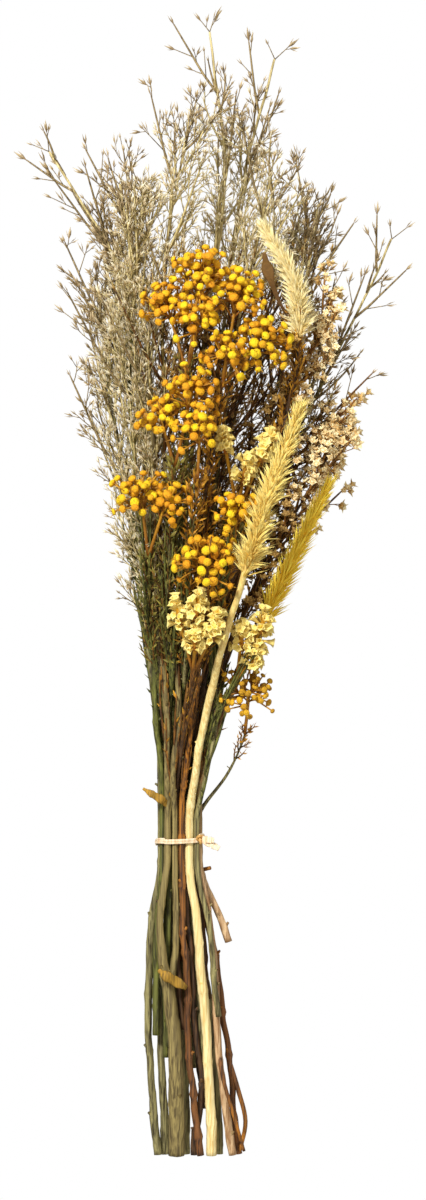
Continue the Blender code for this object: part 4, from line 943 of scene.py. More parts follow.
# %% Templates
def lathe(radii, heights, sides, waves=0, swell=0.0, ripple=0.0):
    """A profile turned round z and closed by a point at each end.

    Along the profile, swell times the cosine of waves times the angle is added to the radius, and
    ripple times its sine to the height, both growing with the square of the radius.
    """
    radii, heights = np.asarray(radii, float), np.asarray(heights, float)
    angle = 2 * math.pi * np.arange(sides) / sides
    grow = (radii[1:-1, None] / radii.max()) ** 2
    r = radii[1:-1, None] * (1 + swell * grow * np.cos(waves * angle))
    z = heights[1:-1, None] + ripple * grow * np.sin(waves * angle)
    rings = np.stack([r * np.cos(angle), r * np.sin(angle), z], -1)
    corners = np.vstack([rings.reshape(-1, 3), [[0, 0, heights[0]]], [[0, 0, heights[-1]]]])
    rows, poles = len(radii) - 2, len(corners) - 2
    j = np.arange(sides)
    n = (j + 1) % sides
    low = np.stack([np.full(sides, poles), n, j], -1)
    high = np.stack([np.full(sides, poles + 1), (rows - 1) * sides + j, (rows - 1) * sides + n], -1)
    t = np.linspace(0, 1, len(radii))
    along = np.r_[np.repeat(t[1:-1], sides), t[0], t[-1]]
    return corners, [ring_faces(rows, sides), low, high], along


def blade(wide, thick, arch=0.0, widest=0.4):
    """A pointed blade: a lozenge with a ridge above and below, and its tip arched over by arch."""
    low = arch * 0.2
    corners = np.array([
        (0, 0, 0), (wide / 2, low, widest), (-wide / 2, low, widest),
        (0, low + thick / 2, widest), (0, low - thick / 2, widest), (0, arch, 1),
    ], float)
    faces = np.array([(0, 1, 3), (0, 3, 2), (0, 2, 4), (0, 4, 1), (5, 3, 1), (5, 2, 3), (5, 4, 2), (5, 1, 4)])
    return corners, [faces[:, ::-1]], corners[:, 2].copy()


def moved(template, lean, around, place, size):
    """A template sized, leaned off z by one angle, turned round z by another, and put in its place."""
    corners, face_sets, along = template
    x, y, z = (corners * size).T
    y, z = y * math.cos(lean) + z * math.sin(lean), z * math.cos(lean) - y * math.sin(lean)
    x, y = x * math.cos(around) - y * math.sin(around), x * math.sin(around) + y * math.cos(around)
    return np.stack([x, y, z], -1) + place, face_sets, along


def joined(*templates):
    """Several templates as one."""
    face_sets, offset = [], 0
    for corners, faces, _ in templates:
        face_sets += [f + offset for f in faces]
        offset += len(corners)
    return np.vstack([t[0] for t in templates]), face_sets, np.concatenate([t[2] for t in templates])


def whorl(leaf, count, lean, height, size):
    """So many copies of a blade, evenly round z, as a list."""
    return [moved(leaf, lean, k * 2 * math.pi / count, (0, 0, height), size) for k in range(count)]


def forked_bud(scales, wide):
    """Pointed scales that spread from one foot, by the golden angle, the lower ones shorter."""
    scale = blade(wide, wide * 0.6, arch=-0.08, widest=0.5)
    return joined(*[
        moved(scale, 0.16 + 0.16 * k, k * GOLDEN_ANGLE, (0, 0, 0.08 * k), 1.0 - 0.2 * k)
        for k in range(scales)
    ])


BUD = forked_bud(3, 0.17)
FEATHER = blade(0.13, 0.05, arch=0.10)
BRISTLE = lathe((0, 0.018, 0.014, 0), (0, 0.1, 0.5, 1.0), 3)
CUP = lathe((0, 0.16, 0.30, 0.52, 0.86, 0.80, 0.46, 0.22, 0), (0, 0.12, 0.45, 0.78, 1.0, 1.0, 0.74, 0.4, 0.3),
    10, 5, 0.16, 0.12)
STAR = joined(lathe((0, 0.27, 0.24, 0), (0, 0.3, 0.52, 0.6), 5),
    *whorl(blade(0.62, 0.1, arch=0.2, widest=0.55), 5, 0.75, 0.2, 0.85))
DOME = lathe((0, 0.6, 0.97, 1.0, 0.8, 0.44, 0), (-0.5, -0.4, -0.12, 0.18, 0.56, 0.76, 0.82),
    11, 6, 0.05, 0.04)
CALYX = joined(*whorl(blade(0.55, 0.12, arch=-0.1), 7, 0.85, -0.75, 0.95))
for title, shape in (("bud", BUD), ("feather", FEATHER), ("cup", CUP), ("star", STAR), ("dome", DOME)):
    print(title, sum(len(f) * (f.shape[1] - 2) for f in shape[1]), "triangles")

# %% [markdown]
# ## Finishes
# Dried plants are never one colour: they fade towards the tip, mottle, and differ from bud to bud.
# One node group does this for every finish. It reads two values that each corner carries, how far it
# is along its shape and a random tone for the shape, and adds a fine mottle in object space.

# %% The shared colour group
def rgb(red, green, blue):
    """A colour given as on a screen, from 0 to 255, turned into the linear numbers that shaders use."""
    values = np.array([red, green, blue]) / 255
    return (*np.where(values < 0.04045, values / 12.92, ((values + 0.055) / 1.055) ** 2.4), 1.0)


def node(tree, kind, **settings):
    made = tree.nodes.new(kind)
    for key, value in settings.items():
        setattr(made, key, value)
    return made


def wire(tree, nodes, values, links):
    """Sets each (node, socket, value) and makes each link (node, socket, node, socket)."""
    for key, socket, value in values:
        nodes[key].inputs[socket].default_value = value
    for source, out_socket, target, in_socket in links:
        tree.links.new(nodes[source].outputs[out_socket], nodes[target].inputs[in_socket])


def dried_tissue():
    """A group: base to tip colour along the shape, then mottled and toned towards a shade colour."""
    group = bpy.data.node_groups.new("Dried tissue", "ShaderNodeTree")
    for name, default in (("Base", None), ("Tip", None), ("Shade", None), ("Tip start", 0.4),
            ("Tip end", 1.0), ("Mottle scale", 300.0), ("Mottle", 0.5), ("Tone", 0.5), ("Stretch", 1.0)):
        kind = "NodeSocketFloat" if default else "NodeSocketColor"
        socket = group.interface.new_socket(name, in_out="INPUT", socket_type=kind)
        socket.default_value = default or (0.5, 0.5, 0.5, 1.0)
    group.interface.new_socket("Colour", in_out="OUTPUT", socket_type="NodeSocketColor")
    group.interface.new_socket("Height", in_out="OUTPUT", socket_type="NodeSocketFloat")
    nodes = {
        "given": node(group, "NodeGroupInput"),
        "out": node(group, "NodeGroupOutput"),
        "along": node(group, "ShaderNodeAttribute", attribute_name="along"),
        "tone": node(group, "ShaderNodeAttribute", attribute_name="tone"),
        "place": node(group, "ShaderNodeTexCoord"),
        "stretch": node(group, "ShaderNodeCombineXYZ"),
        "scaled": node(group, "ShaderNodeVectorMath", operation="MULTIPLY"),
        "noise": node(group, "ShaderNodeTexNoise"),
        "crisp": node(group, "ShaderNodeMapRange"),
        "fade": node(group, "ShaderNodeMapRange"),
        "to_tip": node(group, "ShaderNodeMix", data_type="RGBA"),
        "mottled": node(group, "ShaderNodeMath", operation="MULTIPLY"),
        "toned": node(group, "ShaderNodeMath", operation="MULTIPLY"),
        "total": node(group, "ShaderNodeMath", operation="ADD", use_clamp=True),
        "to_shade": node(group, "ShaderNodeMix", data_type="RGBA"),
    }
    wire(group, nodes, (
        ("noise", "Detail", 3.0), ("crisp", "From Min", 0.36), ("crisp", "From Max", 0.64),
        ("stretch", "X", 1.0), ("stretch", "Z", 1.0),
    ), (
        ("given", "Stretch", "stretch", "Y"), ("place", "Object", "scaled", 0), ("stretch", 0, "scaled", 1),
        ("scaled", 0, "noise", "Vector"), ("given", "Mottle scale", "noise", "Scale"),
        ("along", "Fac", "fade", "Value"), ("given", "Tip start", "fade", "From Min"),
        ("given", "Tip end", "fade", "From Max"), ("fade", 0, "to_tip", "Factor"),
        ("given", "Base", "to_tip", 6), ("given", "Tip", "to_tip", 7), ("noise", "Fac", "crisp", "Value"),
        ("crisp", 0, "mottled", 0), ("given", "Mottle", "mottled", 1), ("tone", "Fac", "toned", 0),
        ("given", "Tone", "toned", 1), ("mottled", 0, "total", 0), ("toned", 0, "total", 1),
        ("total", 0, "to_shade", "Factor"), ("to_tip", 2, "to_shade", 6), ("given", "Shade", "to_shade", 7),
        ("to_shade", 2, "out", "Colour"), ("crisp", 0, "out", "Height"),
    ))
    return group


DRIED_TISSUE = dried_tissue()
print("group sockets", len(DRIED_TISSUE.interface.items_tree))

# %% [markdown]
# Each finish is then one row of colours: at the base, at the tip, and what the mottle darkens to. The
# rows share a few looks. Stems have streaks stretched along them, and buds a tone that varies more
# from one to the next.

# %% The finishes
ROUGHNESS = 0.7
BUMP, BUMP_DEPTH = 0.3, 0.0004  # the mottle's relief, and its depth in metres
STEM_LOOK = {"Mottle scale": 1000.0, "Mottle": 0.8, "Tone": 0.2, "Stretch": 0.02, "Tip start": 0.6}
TAN_LOOK = {**STEM_LOOK, "Tip start": 0.5, "Tip end": 0.62}
RUST_LOOK = {**STEM_LOOK, "Tip start": 0.3, "Tip end": 0.6}
BUD_LOOK = {"Mottle scale": 700.0, "Mottle": 0.15, "Tone": 0.5, "Tip start": 0.15, "Tip end": 0.75}
HEAD_LOOK = {"Mottle scale": 500.0, "Mottle": 0.2, "Tone": 0.4, "Tip start": 0.0, "Tip end": 0.8}
# Buttons run from the amber base colour at the foot of each dome to yellow at its top: the amber is partly
# the flower's own colour and partly painted shade under the dome
BUTTON_LOOK = {"Mottle scale": 1500.0, "Mottle": 0.25, "Tone": 0.85, "Tip start": 0.1, "Tip end": 0.6,
    "bump": 0.8}
OCHRE_LOOK = {**BUTTON_LOOK, "Mottle": 0.3, "Tone": 0.8}
COLOURS = {
    "grey_green_stem": ((170, 160, 104), (128, 114, 50), (46, 36, 8), STEM_LOOK),
    "green_stem": ((122, 124, 50), (122, 114, 42), (34, 30, 4), STEM_LOOK),
    "olive_stem": ((156, 138, 82), (124, 104, 40), (50, 34, 8), STEM_LOOK),
    "dry_scrap": ((178, 116, 10), (214, 158, 32), (92, 48, 0), BUD_LOOK),
    "olive_scrap": ((116, 104, 26), (160, 146, 62), (58, 48, 6), BUD_LOOK),
    # brown_twig and shade_bud also serve as painted shade on the shoots in the hollow between the heads
    "brown_twig": ((132, 84, 14), (158, 108, 26), (34, 16, 0), STEM_LOOK),
    "dark_stem": ((96, 64, 32), (104, 72, 34), (22, 10, 4), STEM_LOOK),
    "rust_stem": ((138, 86, 36), (186, 118, 28), (48, 24, 6), RUST_LOOK),
    "cream_stem": ((255, 238, 178), (246, 220, 130), (214, 176, 96), STEM_LOOK),
    "tan_stem": ((230, 196, 150), (134, 126, 78), (150, 108, 66), TAN_LOOK),
    "lavender_twig": ((240, 222, 158), (232, 214, 156), (124, 102, 46), STEM_LOOK),
    "weathered_twig": ((176, 152, 102), (156, 132, 88), (84, 66, 34), STEM_LOOK),
    "lavender_bud": ((190, 160, 94), (255, 250, 222), (176, 146, 92), BUD_LOOK),
    "weathered_bud": ((134, 106, 62), (212, 190, 146), (112, 88, 54), BUD_LOOK),
    "shade_bud": ((128, 84, 24), (220, 180, 98), (84, 50, 10), BUD_LOOK),
    "beige_twig": ((170, 118, 42), (176, 124, 50), (72, 42, 8), STEM_LOOK),
    "beige_floret": ((214, 166, 70), (255, 246, 202), (202, 154, 74), BUD_LOOK),
    "cream_feather": ((224, 184, 74), (255, 242, 152), (216, 178, 76), HEAD_LOOK),
    "pale_feather": ((240, 214, 134), (255, 250, 206), (238, 210, 136), HEAD_LOOK),
    "golden_bristle": ((255, 204, 28), (255, 238, 92), (255, 208, 40), HEAD_LOOK),
    "statice_paper": ((216, 178, 60), (255, 242, 162), (234, 202, 96), HEAD_LOOK),
    "button_yellow": ((208, 136, 0), (255, 226, 12), (230, 152, 0), BUTTON_LOOK),
    "button_ochre": ((178, 112, 8), (246, 190, 24), (186, 136, 16), OCHRE_LOOK),
    "button_green": ((160, 100, 8), (212, 156, 22), (104, 58, 2), BUD_LOOK),
    "raffia": ((250, 232, 202), (250, 232, 202), (220, 184, 138), STEM_LOOK),
    "raffia_knot": ((222, 176, 100), (232, 194, 130), (176, 120, 50), STEM_LOOK),
    "dry_leaf": ((176, 132, 34), (196, 146, 30), (98, 74, 10), STEM_LOOK),
    # A dark brown painted shadow, for the leaf beside the first cream spike's head
    "shadow_dark_leaf": ((104, 68, 16), (142, 100, 28), (52, 30, 6), BUD_LOOK),
}


def finish(name, base, tip, shade, look):
    """A material: the shared group feeds the colour and a bump of its mottle."""
    material = bpy.data.materials.new(name)
    material.use_nodes = True
    tree = material.node_tree
    nodes = {
        "shader": tree.nodes["Principled BSDF"],
        "tissue": node(tree, "ShaderNodeGroup", node_tree=DRIED_TISSUE),
        "relief": node(tree, "ShaderNodeBump"),
    }
    given = {"Base": rgb(*base), "Tip": rgb(*tip), "Shade": rgb(*shade), **look}
    bump = given.pop("bump", BUMP)
    values = [("tissue", key, value) for key, value in given.items()]
    values += [("relief", "Strength", bump), ("relief", "Distance", BUMP_DEPTH),
        ("shader", "Roughness", ROUGHNESS)]
    wire(tree, nodes, values, (
        ("tissue", "Colour", "shader", "Base Color"), ("tissue", "Height", "relief", "Height"),
        ("relief", "Normal", "shader", "Normal"),
    ))
    return material


FINISHES = {name: finish(name, *row) for name, row in COLOURS.items()}
print("finishes", len(FINISHES))

# %% [markdown]
# ## From arrays to pieces
# A piece gathers its batches, each with a finish and a random tone for every shape in it. At the end
# they go into one mesh in a single step, set in metres at their place in the frame.

# %% Gather a piece
ABOVE_TABLE = 0.0002  # in metres; no twig reaches lower than this


class Piece:
    """The surface of one node's plant, gathered batch by batch, with its own source of chance."""

    def __init__(self, name, rng):
        self.name, self.rng, self.count = name, rng, 0
        self.corners, self.faces, self.finish = [], [], []
        self.smooth, self.along, self.tone = [], [], []

    def add(self, made, look, smooth=True):
        corners, face_sets, along, which = made
        self.corners.append(corners)
        self.along.append(along)
        self.tone.append(self.rng.uniform(0, 1, which.max() + 1)[which])
        for faces in face_sets:
            self.faces.append(faces + self.count)
            self.finish.append((look, len(faces)))
            self.smooth.append(np.full(len(faces), smooth))
        self.count += len(corners)

    def add_copies(self, template, places, axes, sizes, look, smooth=True):
        self.add(scatter(template, places, axes, sizes, self.rng), look, smooth)

    def add_twigs(self, paths, thick, thin, sides, look):
        """Round twigs along the paths, whose radius falls evenly from thick to thin."""
        self.add(tubes(paths, np.linspace(thick, thin, paths.shape[1]), sides), look)

    def add_blades(self, paths, wide, look):
        """A flat pointed scrap of leaf along each path, so many times wider than a feather's blade."""
        long = np.linalg.norm(paths[:, -1] - paths[:, 0], axis=1)
        sizes = np.column_stack([long * wide, long * wide, long])
        self.add_copies(FEATHER, paths[:, 0], normal(paths[:, -1] - paths[:, 0]), sizes, look, smooth=False)

    def build(self):
        """Makes the mesh and the object, and returns the object and the number of triangles."""
        corners = (np.vstack(self.corners) - SHIFT) * MM
        corners[:, 2] = np.maximum(corners[:, 2], ABOVE_TABLE)
        loops = np.concatenate([f.ravel() for f in self.faces])
        widths = np.concatenate([np.full(len(f), f.shape[1]) for f in self.faces])
        looks = list(dict.fromkeys(look for look, _ in self.finish))
        mesh = bpy.data.meshes.new(self.name)
        mesh.vertices.add(len(corners))
        mesh.vertices.foreach_set("co", corners.ravel())
        mesh.loops.add(len(loops))
        mesh.loops.foreach_set("vertex_index", loops)
        mesh.polygons.add(len(widths))
        mesh.polygons.foreach_set("loop_start", np.r_[0, np.cumsum(widths)[:-1]])
        indices = [np.full(count, looks.index(look)) for look, count in self.finish]
        mesh.polygons.foreach_set("material_index", np.concatenate(indices))
        mesh.polygons.foreach_set("use_smooth", np.concatenate(self.smooth))
        mesh.update(calc_edges=True)
        for key, values in (("along", self.along), ("tone", self.tone)):
            mesh.attributes.new(key, "FLOAT", "POINT").data.foreach_set("value", np.concatenate(values))
        for look in looks:
            mesh.materials.append(FINISHES[look])
        made = bpy.data.objects.new(self.name, mesh)
        bpy.context.scene.collection.objects.link(made)
        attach(made, "root")
        return made, int((widths - 2).sum())


# %% [markdown]
# ## Shoots on shoots
# The model has each plant's main branches. The real ones fork twice more, down to twigs a third of a
# millimetre thick, so shoots grow on shoots here, for a whole level of a plant at a time. They thin
# out past the bouquet's middle, so that its outline breaks up into single twigs.

# %% Grow a level of shoots
# The dense middle of the bouquet is a little smaller than its full one, and an ellipse too
DENSE_MIDDLE = np.array([17.0, 225.0])
DENSE_SIZE = np.array([64.0, 152.0])
DENSE_FALL = 2.7  # how fast the share of shoots that stays falls, for each size of the ellipse
FEWEST = 0.15  # that share at the furthest tips
LEAST_HEIGHT = 0.8  # the lowest that a shoot runs above the table
MODEL_MARGIN = 4.0  # how far outside the model's box a shoot may reach
GROWTH_BOX = np.array(cad_box) / MM + SHIFT + np.array([[-MODEL_MARGIN], [MODEL_MARGIN]])
print("shoots stay inside", GROWTH_BOX.round(1).tolist())


def density(places):
    """The share of the shoots that stays at the places: all in the middle, few at the furthest tips.

    It falls off past the dense ellipse, and also downwards, where the flowers give way to bare stems.
    """
    most = np.clip((places[..., 1] - 60) / 80, 0.2, 1)
    return np.clip(3.4 - DENSE_FALL * way_out(places, DENSE_MIDDLE, DENSE_SIZE), FEWEST, most)


def shoots(rng, parents, each, reach, lengths, lean, curl=0.35, steps=3, all_stay=False):
    """So many shoots on each parent path, turned on by the golden angle, that bend back towards it.

    A shoot's point at share s is its base, plus s times its length along its own direction, plus
    s squared times curl times its length towards the parent's direction. The three lengths hold for
    shoots at the parent's base, at four tenths of the way and at its tip. Those outside the model's
    box are dropped, and so are some where the bouquet is sparse, unless all of them are to stay.
    """
    count = len(parents)
    t = reach[0] + (reach[1] - reach[0]) * (np.arange(each) + rng.uniform(0.1, 0.9, (count, each))) / each
    base, axis = read_paths(parents, t)
    around = GOLDEN_ANGLE * np.arange(each) + rng.uniform(0, 2 * math.pi, (count, 1))
    tilt = rng.uniform(*lean, (count, each))[..., None]
    heading = np.cos(tilt) * axis + np.sin(tilt) * sideways(axis, around)
    full = fullness(base)
    size = np.interp(t, (0, 0.4, 1), lengths) * rng.uniform(0.6, 1.2, (count, each)) * (0.3 + 0.7 * full)
    size = size[..., None, None]
    s = np.linspace(0, 1, steps + 1)[:, None]
    paths = base[:, :, None] + size * (s * heading[:, :, None] + curl * s**2 * (axis - heading)[:, :, None])
    paths = paths.reshape(-1, steps + 1, 3)
    paths[..., 2] = np.maximum(paths[..., 2], LEAST_HEIGHT)
    inside = ((paths > GROWTH_BOX[0]) & (paths < GROWTH_BOX[1])).all((1, 2))
    kept = rng.uniform(0, 1, len(paths)) < density(paths[:, 0])
    return paths[inside & (kept | all_stay)]


# %% [markdown]
# ## Stems
# A dried stem isn't a rod: it has shallow ribs that twist slowly, and a swollen joint every few
# centimetres where a leaf once sat. The ribs are a cosine of the angle added to the radius, and the
# joints are narrow bell curves along the length.

# %% Dress the stems
STEM_STEP = 2.5  # along y, between two rings
STEM_SIDES = 12
STEM_WAVE, KNOBBLY_WAVE = 0.28, 0.55  # how far a stem wanders from its line
WAVE_FADE = 30.0  # the distance from the tie over which it comes to wander freely
JOINT_HALF, JOINT_SWELL, KNOBBLY_SWELL = 1.5, 0.3, 2.2  # half length, thickness, and times more if knobbly
RIB_DEPTHS, RIB_TWISTS, GRAIN = (0.06, 0.05), (0.02, 0.05), 0.03  # of four ribs and of three
PALE_CROWN = 268.0  # sea lavender's stems are pale from here up
BRACTS_PER_MM = 0.4
LOW_TWIGS_END = 150.0
STEMS_BY_FINISH = {
    "cream_stem": ("cream_spike_2",),
    "tan_stem": ("golden_spike", "bare_stem_short"),
    "rust_stem": ("bare_stem_long", "button_flower_6", "beige_spray_1", "beige_spray_2"),
    "green_stem": ("sea_lavender_8", "button_flower_1", "button_flower_5"),
    "olive_stem": ("sea_lavender_2", "sea_lavender_6"),
    "dark_stem": ("cream_spike_1", "cream_statice_1", "button_flower_2", "beige_spray_3"),
}
STEM_FINISH = {name: look for look, names in STEMS_BY_FINISH.items() for name in names}
KNOBBLY_STEMS = ("dark_stem", "rust_stem")
BARE_LOW_STEMS = ("cream_spike_2", "button_flower_8", "bare_stem_short", "bare_stem_long")
# The stems that carry bracts, and the y from which they do
BRACTS_FROM = {**dict.fromkeys(BUTTONS, 88.0), "button_flower_8": 40.0, "cream_spike_1": 150.0,
    "cream_statice_3": 110.0}
OLIVE_BRACTS = ("button_flower_1", "button_flower_3", "button_flower_5")
LOW_TWIG = dict(each=18, reach=(0.0, 0.95), lengths=(60.0, 56.0, 44.0), lean=(0.04, 0.22), curl=0.6, steps=5,
    all_stay=True)
LOW_SCRAP = dict(each=3, reach=(0.2, 1.0), lengths=(6.0, 7.0, 7.0), lean=(0.3, 0.9), curl=0.2, steps=2,
    all_stay=True)
BRACT_TWIG = dict(reach=(0.0, 1.0), lengths=(15.0, 16.0, 12.0), lean=(0.25, 0.8), curl=0.3, all_stay=True)
BRACT = dict(each=7, reach=(0.15, 1.0), lengths=(6.5, 6.0, 5.0), lean=(0.3, 1.0), curl=0.2, steps=2,
    all_stay=True)
print("stems with a finish of their own", len(STEM_FINISH), "and with bracts", len(BRACTS_FROM))


def dress_stem(piece, name, points, radii):
    """One stem: its line smoothed and waved a little, twisting ribs, and a swollen joint here and there.

    The wave is a sum of two sines of y. It fades out in the tie, where the stems are pressed straight.
    """
    rng = piece.rng
    look = STEM_FINISH.get(name, "grey_green_stem")
    knobbly = look in KNOBBLY_STEMS
    foot, top = points[0, 1], points[-1, 1]
    line = curve_through(points, np.append(np.arange(foot, top, STEM_STEP), top))
    y = line[:, 1]
    size = np.interp(y, points[:, 1], radii)
    free = (KNOBBLY_WAVE if knobbly else STEM_WAVE) * np.clip((np.abs(y) - WAIST) / WAVE_FADE, 0, 1)
    line[:, 0] += free * (np.sin(y / 9.0 + rng.uniform(0, 6)) + 0.5 * np.sin(y / 3.7 + rng.uniform(0, 6)))
    line[:, 2] += free * 0.5 * np.sin(y / 8.3 + rng.uniform(0, 6))
    line[:, 2] = np.maximum(line[:, 2], size * 1.1)
    joints = np.arange(foot + rng.uniform(6, 24), top, rng.uniform(22, 38))
    joints = joints + rng.uniform(-6, 6, len(joints))
    bell = np.exp(-(((y[:, None] - joints) / JOINT_HALF) ** 2)).sum(1)
    swell = np.minimum(0.2, JOINT_SWELL / size) * (KNOBBLY_SWELL if knobbly else 1.0)
    size = size * (0.97 + swell * bell * np.clip((top - y) / 60, 0, 1))
    angle = 2 * math.pi * np.arange(STEM_SIDES) / STEM_SIDES
    four = np.cos(4 * (angle[None] + RIB_TWISTS[0] * y[:, None]))
    three = np.cos(3 * angle[None] - RIB_TWISTS[1] * y[:, None])
    ribs = 1 + RIB_DEPTHS[0] * four + RIB_DEPTHS[1] * three
    ribs = ribs + GRAIN * rng.normal(0, 1, ribs.shape)
    crown = int(np.searchsorted(y, PALE_CROWN)) if name in SEA_LAVENDER else len(y)
    for part, colour in ((slice(0, crown + 1), look), (slice(crown, None), "lavender_twig")):
        if len(y[part]) > 2:
            piece.add(tubes(line[None, part], size[None, part], STEM_SIDES, relief=ribs[None, part]), colour)
    dress_stubs(piece, line, size, joints[np.abs(joints) > 20], look)
    if name in BRACTS_FROM:
        colour = "olive_scrap" if name in OLIVE_BRACTS else "dry_scrap"
        dress_bracts(piece, line[y > BRACTS_FROM[name]], colour)
    if name not in BARE_LOW_STEMS:
        dress_low_twigs(piece, line, "green_stem" if "green" in look else "brown_twig")


def dress_stubs(piece, line, size, joints, look):
    """Short stubs of broken side twigs, at about half of the joints, leaning up at 35 to 60 degrees."""
    rng = piece.rng
    joints = joints[rng.uniform(0, 1, len(joints)) < 0.5]
    if not len(joints):
        return
    base = read_at(joints, line[:, 1], line)
    wide = np.interp(joints, line[:, 1], size)
    around, lean = rng.uniform(0, math.pi, len(joints)), rng.uniform(0.6, 1.05, len(joints))
    axes = np.column_stack([np.sin(lean) * np.cos(around), np.cos(lean), np.sin(lean) * np.sin(around)])
    ends = base + axes * (wide + rng.uniform(1.0, 3.2, len(joints)))[:, None]
    paths = np.stack([base, (base + ends) / 2, ends], 1)
    piece.add(tubes(paths, np.outer(wide, (0.5, 0.38, 0.3)), 6), look)


def dress_bracts(piece, line, look):
    """Small dry bracts on short side twigs, all along a stretch of stem among the heads."""
    each = 4 + int((line[-1, 1] - line[0, 1]) * BRACTS_PER_MM)
    twigs = shoots(piece.rng, evenly(line, 9), each, **BRACT_TWIG)
    piece.add_twigs(twigs, 0.42, 0.26, 4, "brown_twig")
    piece.add_blades(shoots(piece.rng, twigs, **BRACT), 2.4, look)


def dress_low_twigs(piece, line, look):
    """Bare side twigs that run up beside the stem, between the tie and the flowers."""
    low = line[(line[:, 1] > WAIST + 4) & (line[:, 1] < LOW_TWIGS_END)]
    if len(low) < 10:
        return
    paths = shoots(piece.rng, evenly(low, 9), **LOW_TWIG)
    piece.add_twigs(paths, 0.88, 0.36, 4, look)
    scraps = shoots(piece.rng, paths[::2], **LOW_SCRAP)
    piece.add_blades(scraps, 2.2, "dry_scrap" if look == "brown_twig" else look)


# %% [markdown]
# ## Sea lavender and the beige sprays
# Both grow by the same rule: branches, twigs on them and sprigs on those, all ending in a bud
# or a papery star. The twigs on the outside have weathered to a grey brown. Those in the hollow
# between the flower heads are given a darker brown: painted shade, where little light reaches them.

# %% Dress the sprays
EDGE = 0.98  # how far out, in sizes of the dense ellipse, the weathered twigs begin
# Shoots that start inside this box get SHADED's darker brown finishes, as painted shade for the hollow
SHADED_HOLLOW = np.array([(-10.0, 70.0, 0.0), (58.0, 286.0, 100.0)])  # two opposite corners
SHADED = ("brown_twig", "shade_bud")
DARK_SPRAYS = ("sea_lavender_9", "sea_lavender_10")
SPRAY_HABITS = {
    "sea_lavender": dict(from_y=84.0, bud=BUD, bud_length=5.2, bud_width=1.0,
        plain=("lavender_twig", "lavender_bud"), edge=("weathered_twig", "weathered_bud"), levels=(
            dict(each=30, reach=(0.0, 0.98), lengths=(16.0, 44.0, 30.0), lean=(0.2, 0.65), steps=8),
            dict(each=6, reach=(0.2, 0.97), lengths=(15.0, 14.0, 12.0), lean=(0.3, 0.8), curl=0.2),
            dict(each=4, reach=(0.2, 0.95), lengths=(5.0, 4.5, 5.5), lean=(0.4, 1.0), curl=0.1, steps=2))),
    "beige_spray": dict(from_y=96.0, bud=STAR, bud_length=3.6, bud_width=0.95,
        plain=("beige_twig", "beige_floret"), edge=("beige_twig", "beige_floret"), levels=(
            dict(each=27, reach=(0.0, 0.98), lengths=(18.0, 27.0, 12.0), lean=(0.3, 0.7), steps=8),
            dict(each=6, reach=(0.2, 0.97), lengths=(10.0, 8.0, 6.0), lean=(0.3, 0.8), curl=0.2),
            dict(each=3, reach=(0.2, 0.95), lengths=(5.0, 4.5, 4.0), lean=(0.4, 1.0), curl=0.1, steps=2))),
}
for family, habit in SPRAY_HABITS.items():
    print(family, "has levels of", [level["each"] for level in habit["levels"]], "shoots")


def dress_spray(piece, stem, shapes, habit):
    """The model's branches and twigs, smoothed, and three more levels of shoots, all ending in buds."""
    rng = piece.rng
    crown = evenly(smoothed(stem[None, stem[:, 1] > habit["from_y"]], 4)[0], 13)
    branches, twigs = (np.array([p for kind, p, _ in shapes if kind in END_SHAPES and len(p) == n])
        for n in (5, 3))
    levels = habit["levels"]
    main = shoots(rng, crown, **levels[0])
    if len(branches):
        main = np.vstack([smoothed(branches, 2), main])
    second = shoots(rng, main, **levels[1])
    if len(twigs):
        second = np.vstack([smoothed(twigs, 2)[:, :4], second])
    third = shoots(rng, second, **levels[2])
    for paths, thick, thin, sides in ((main, 0.7, 0.34, 4), (second, 0.36, 0.26, 3), (third, 0.28, 0.2, 3)):
        ends, axes = paths[:, -1], normal(paths[:, -1] - paths[:, -2])
        # shaded marks the shoots in the hollow, which are given the painted-shade finishes
        shaded = ((paths[:, 0] > SHADED_HOLLOW[0]) & (paths[:, 0] < SHADED_HOLLOW[1])).all(-1)
        out = way_out(ends, DENSE_MIDDLE, DENSE_SIZE) + rng.normal(0, 0.08, len(ends))
        weathered = (out > EDGE) & ~shaded
        length = habit["bud_length"] * rng.uniform(0.6, 1.2, len(ends)) * (1.7 - 0.7 * fullness(ends))
        sizes = np.column_stack([length * habit["bud_width"], length * habit["bud_width"], length])
        for chosen, (twig, bud) in (
                (~shaded & ~weathered, habit["plain"]), (shaded, SHADED), (weathered, habit["edge"])):
            if chosen.any():
                piece.add_twigs(paths[chosen], thick, thin, sides, twig)
                piece.add_copies(habit["bud"], (ends - axes)[chosen], axes[chosen], sizes[chosen], bud,
                    smooth=False)


# %% [markdown]
# ## Spikes, statice and buttons
# The feathery heads are hundreds of narrow blades round a core, spread all round it. Statice is a
# tuft of papery cups that face outwards, and each button is a dome over a ring of small bracts.

# %% Dress the heads
# Each spike's finish, the shape of its seeds, how many, and how much wider and longer they are
SPIKE_LOOKS = {
    "cream_spike_1": ("pale_feather", FEATHER, 900, 1.0, 1.0),
    "cream_spike_2": ("cream_feather", FEATHER, 900, 1.0, 1.0),
    "golden_spike": ("golden_bristle", BRISTLE, 1100, 2.6, 1.3),
}
AWN_LENGTH = 1.25  # of the fine awns between the cream feathers, as a share of a feather's length
CUPS = 30  # in one tuft of statice
SIDE_STALKS = 9  # tried on each button's stalk
BUTTON_RAY = dict(each=5, reach=(0.3, 0.95), lengths=(8.0, 7.0, 5.0), lean=(0.3, 0.9), steps=2)
kinds = [kind for shapes in bunch.nodes.values() for kind, _, _ in shapes]
print("in the model:", kinds.count("button"), "buttons and", kinds.count("statice"), "tufts of statice")


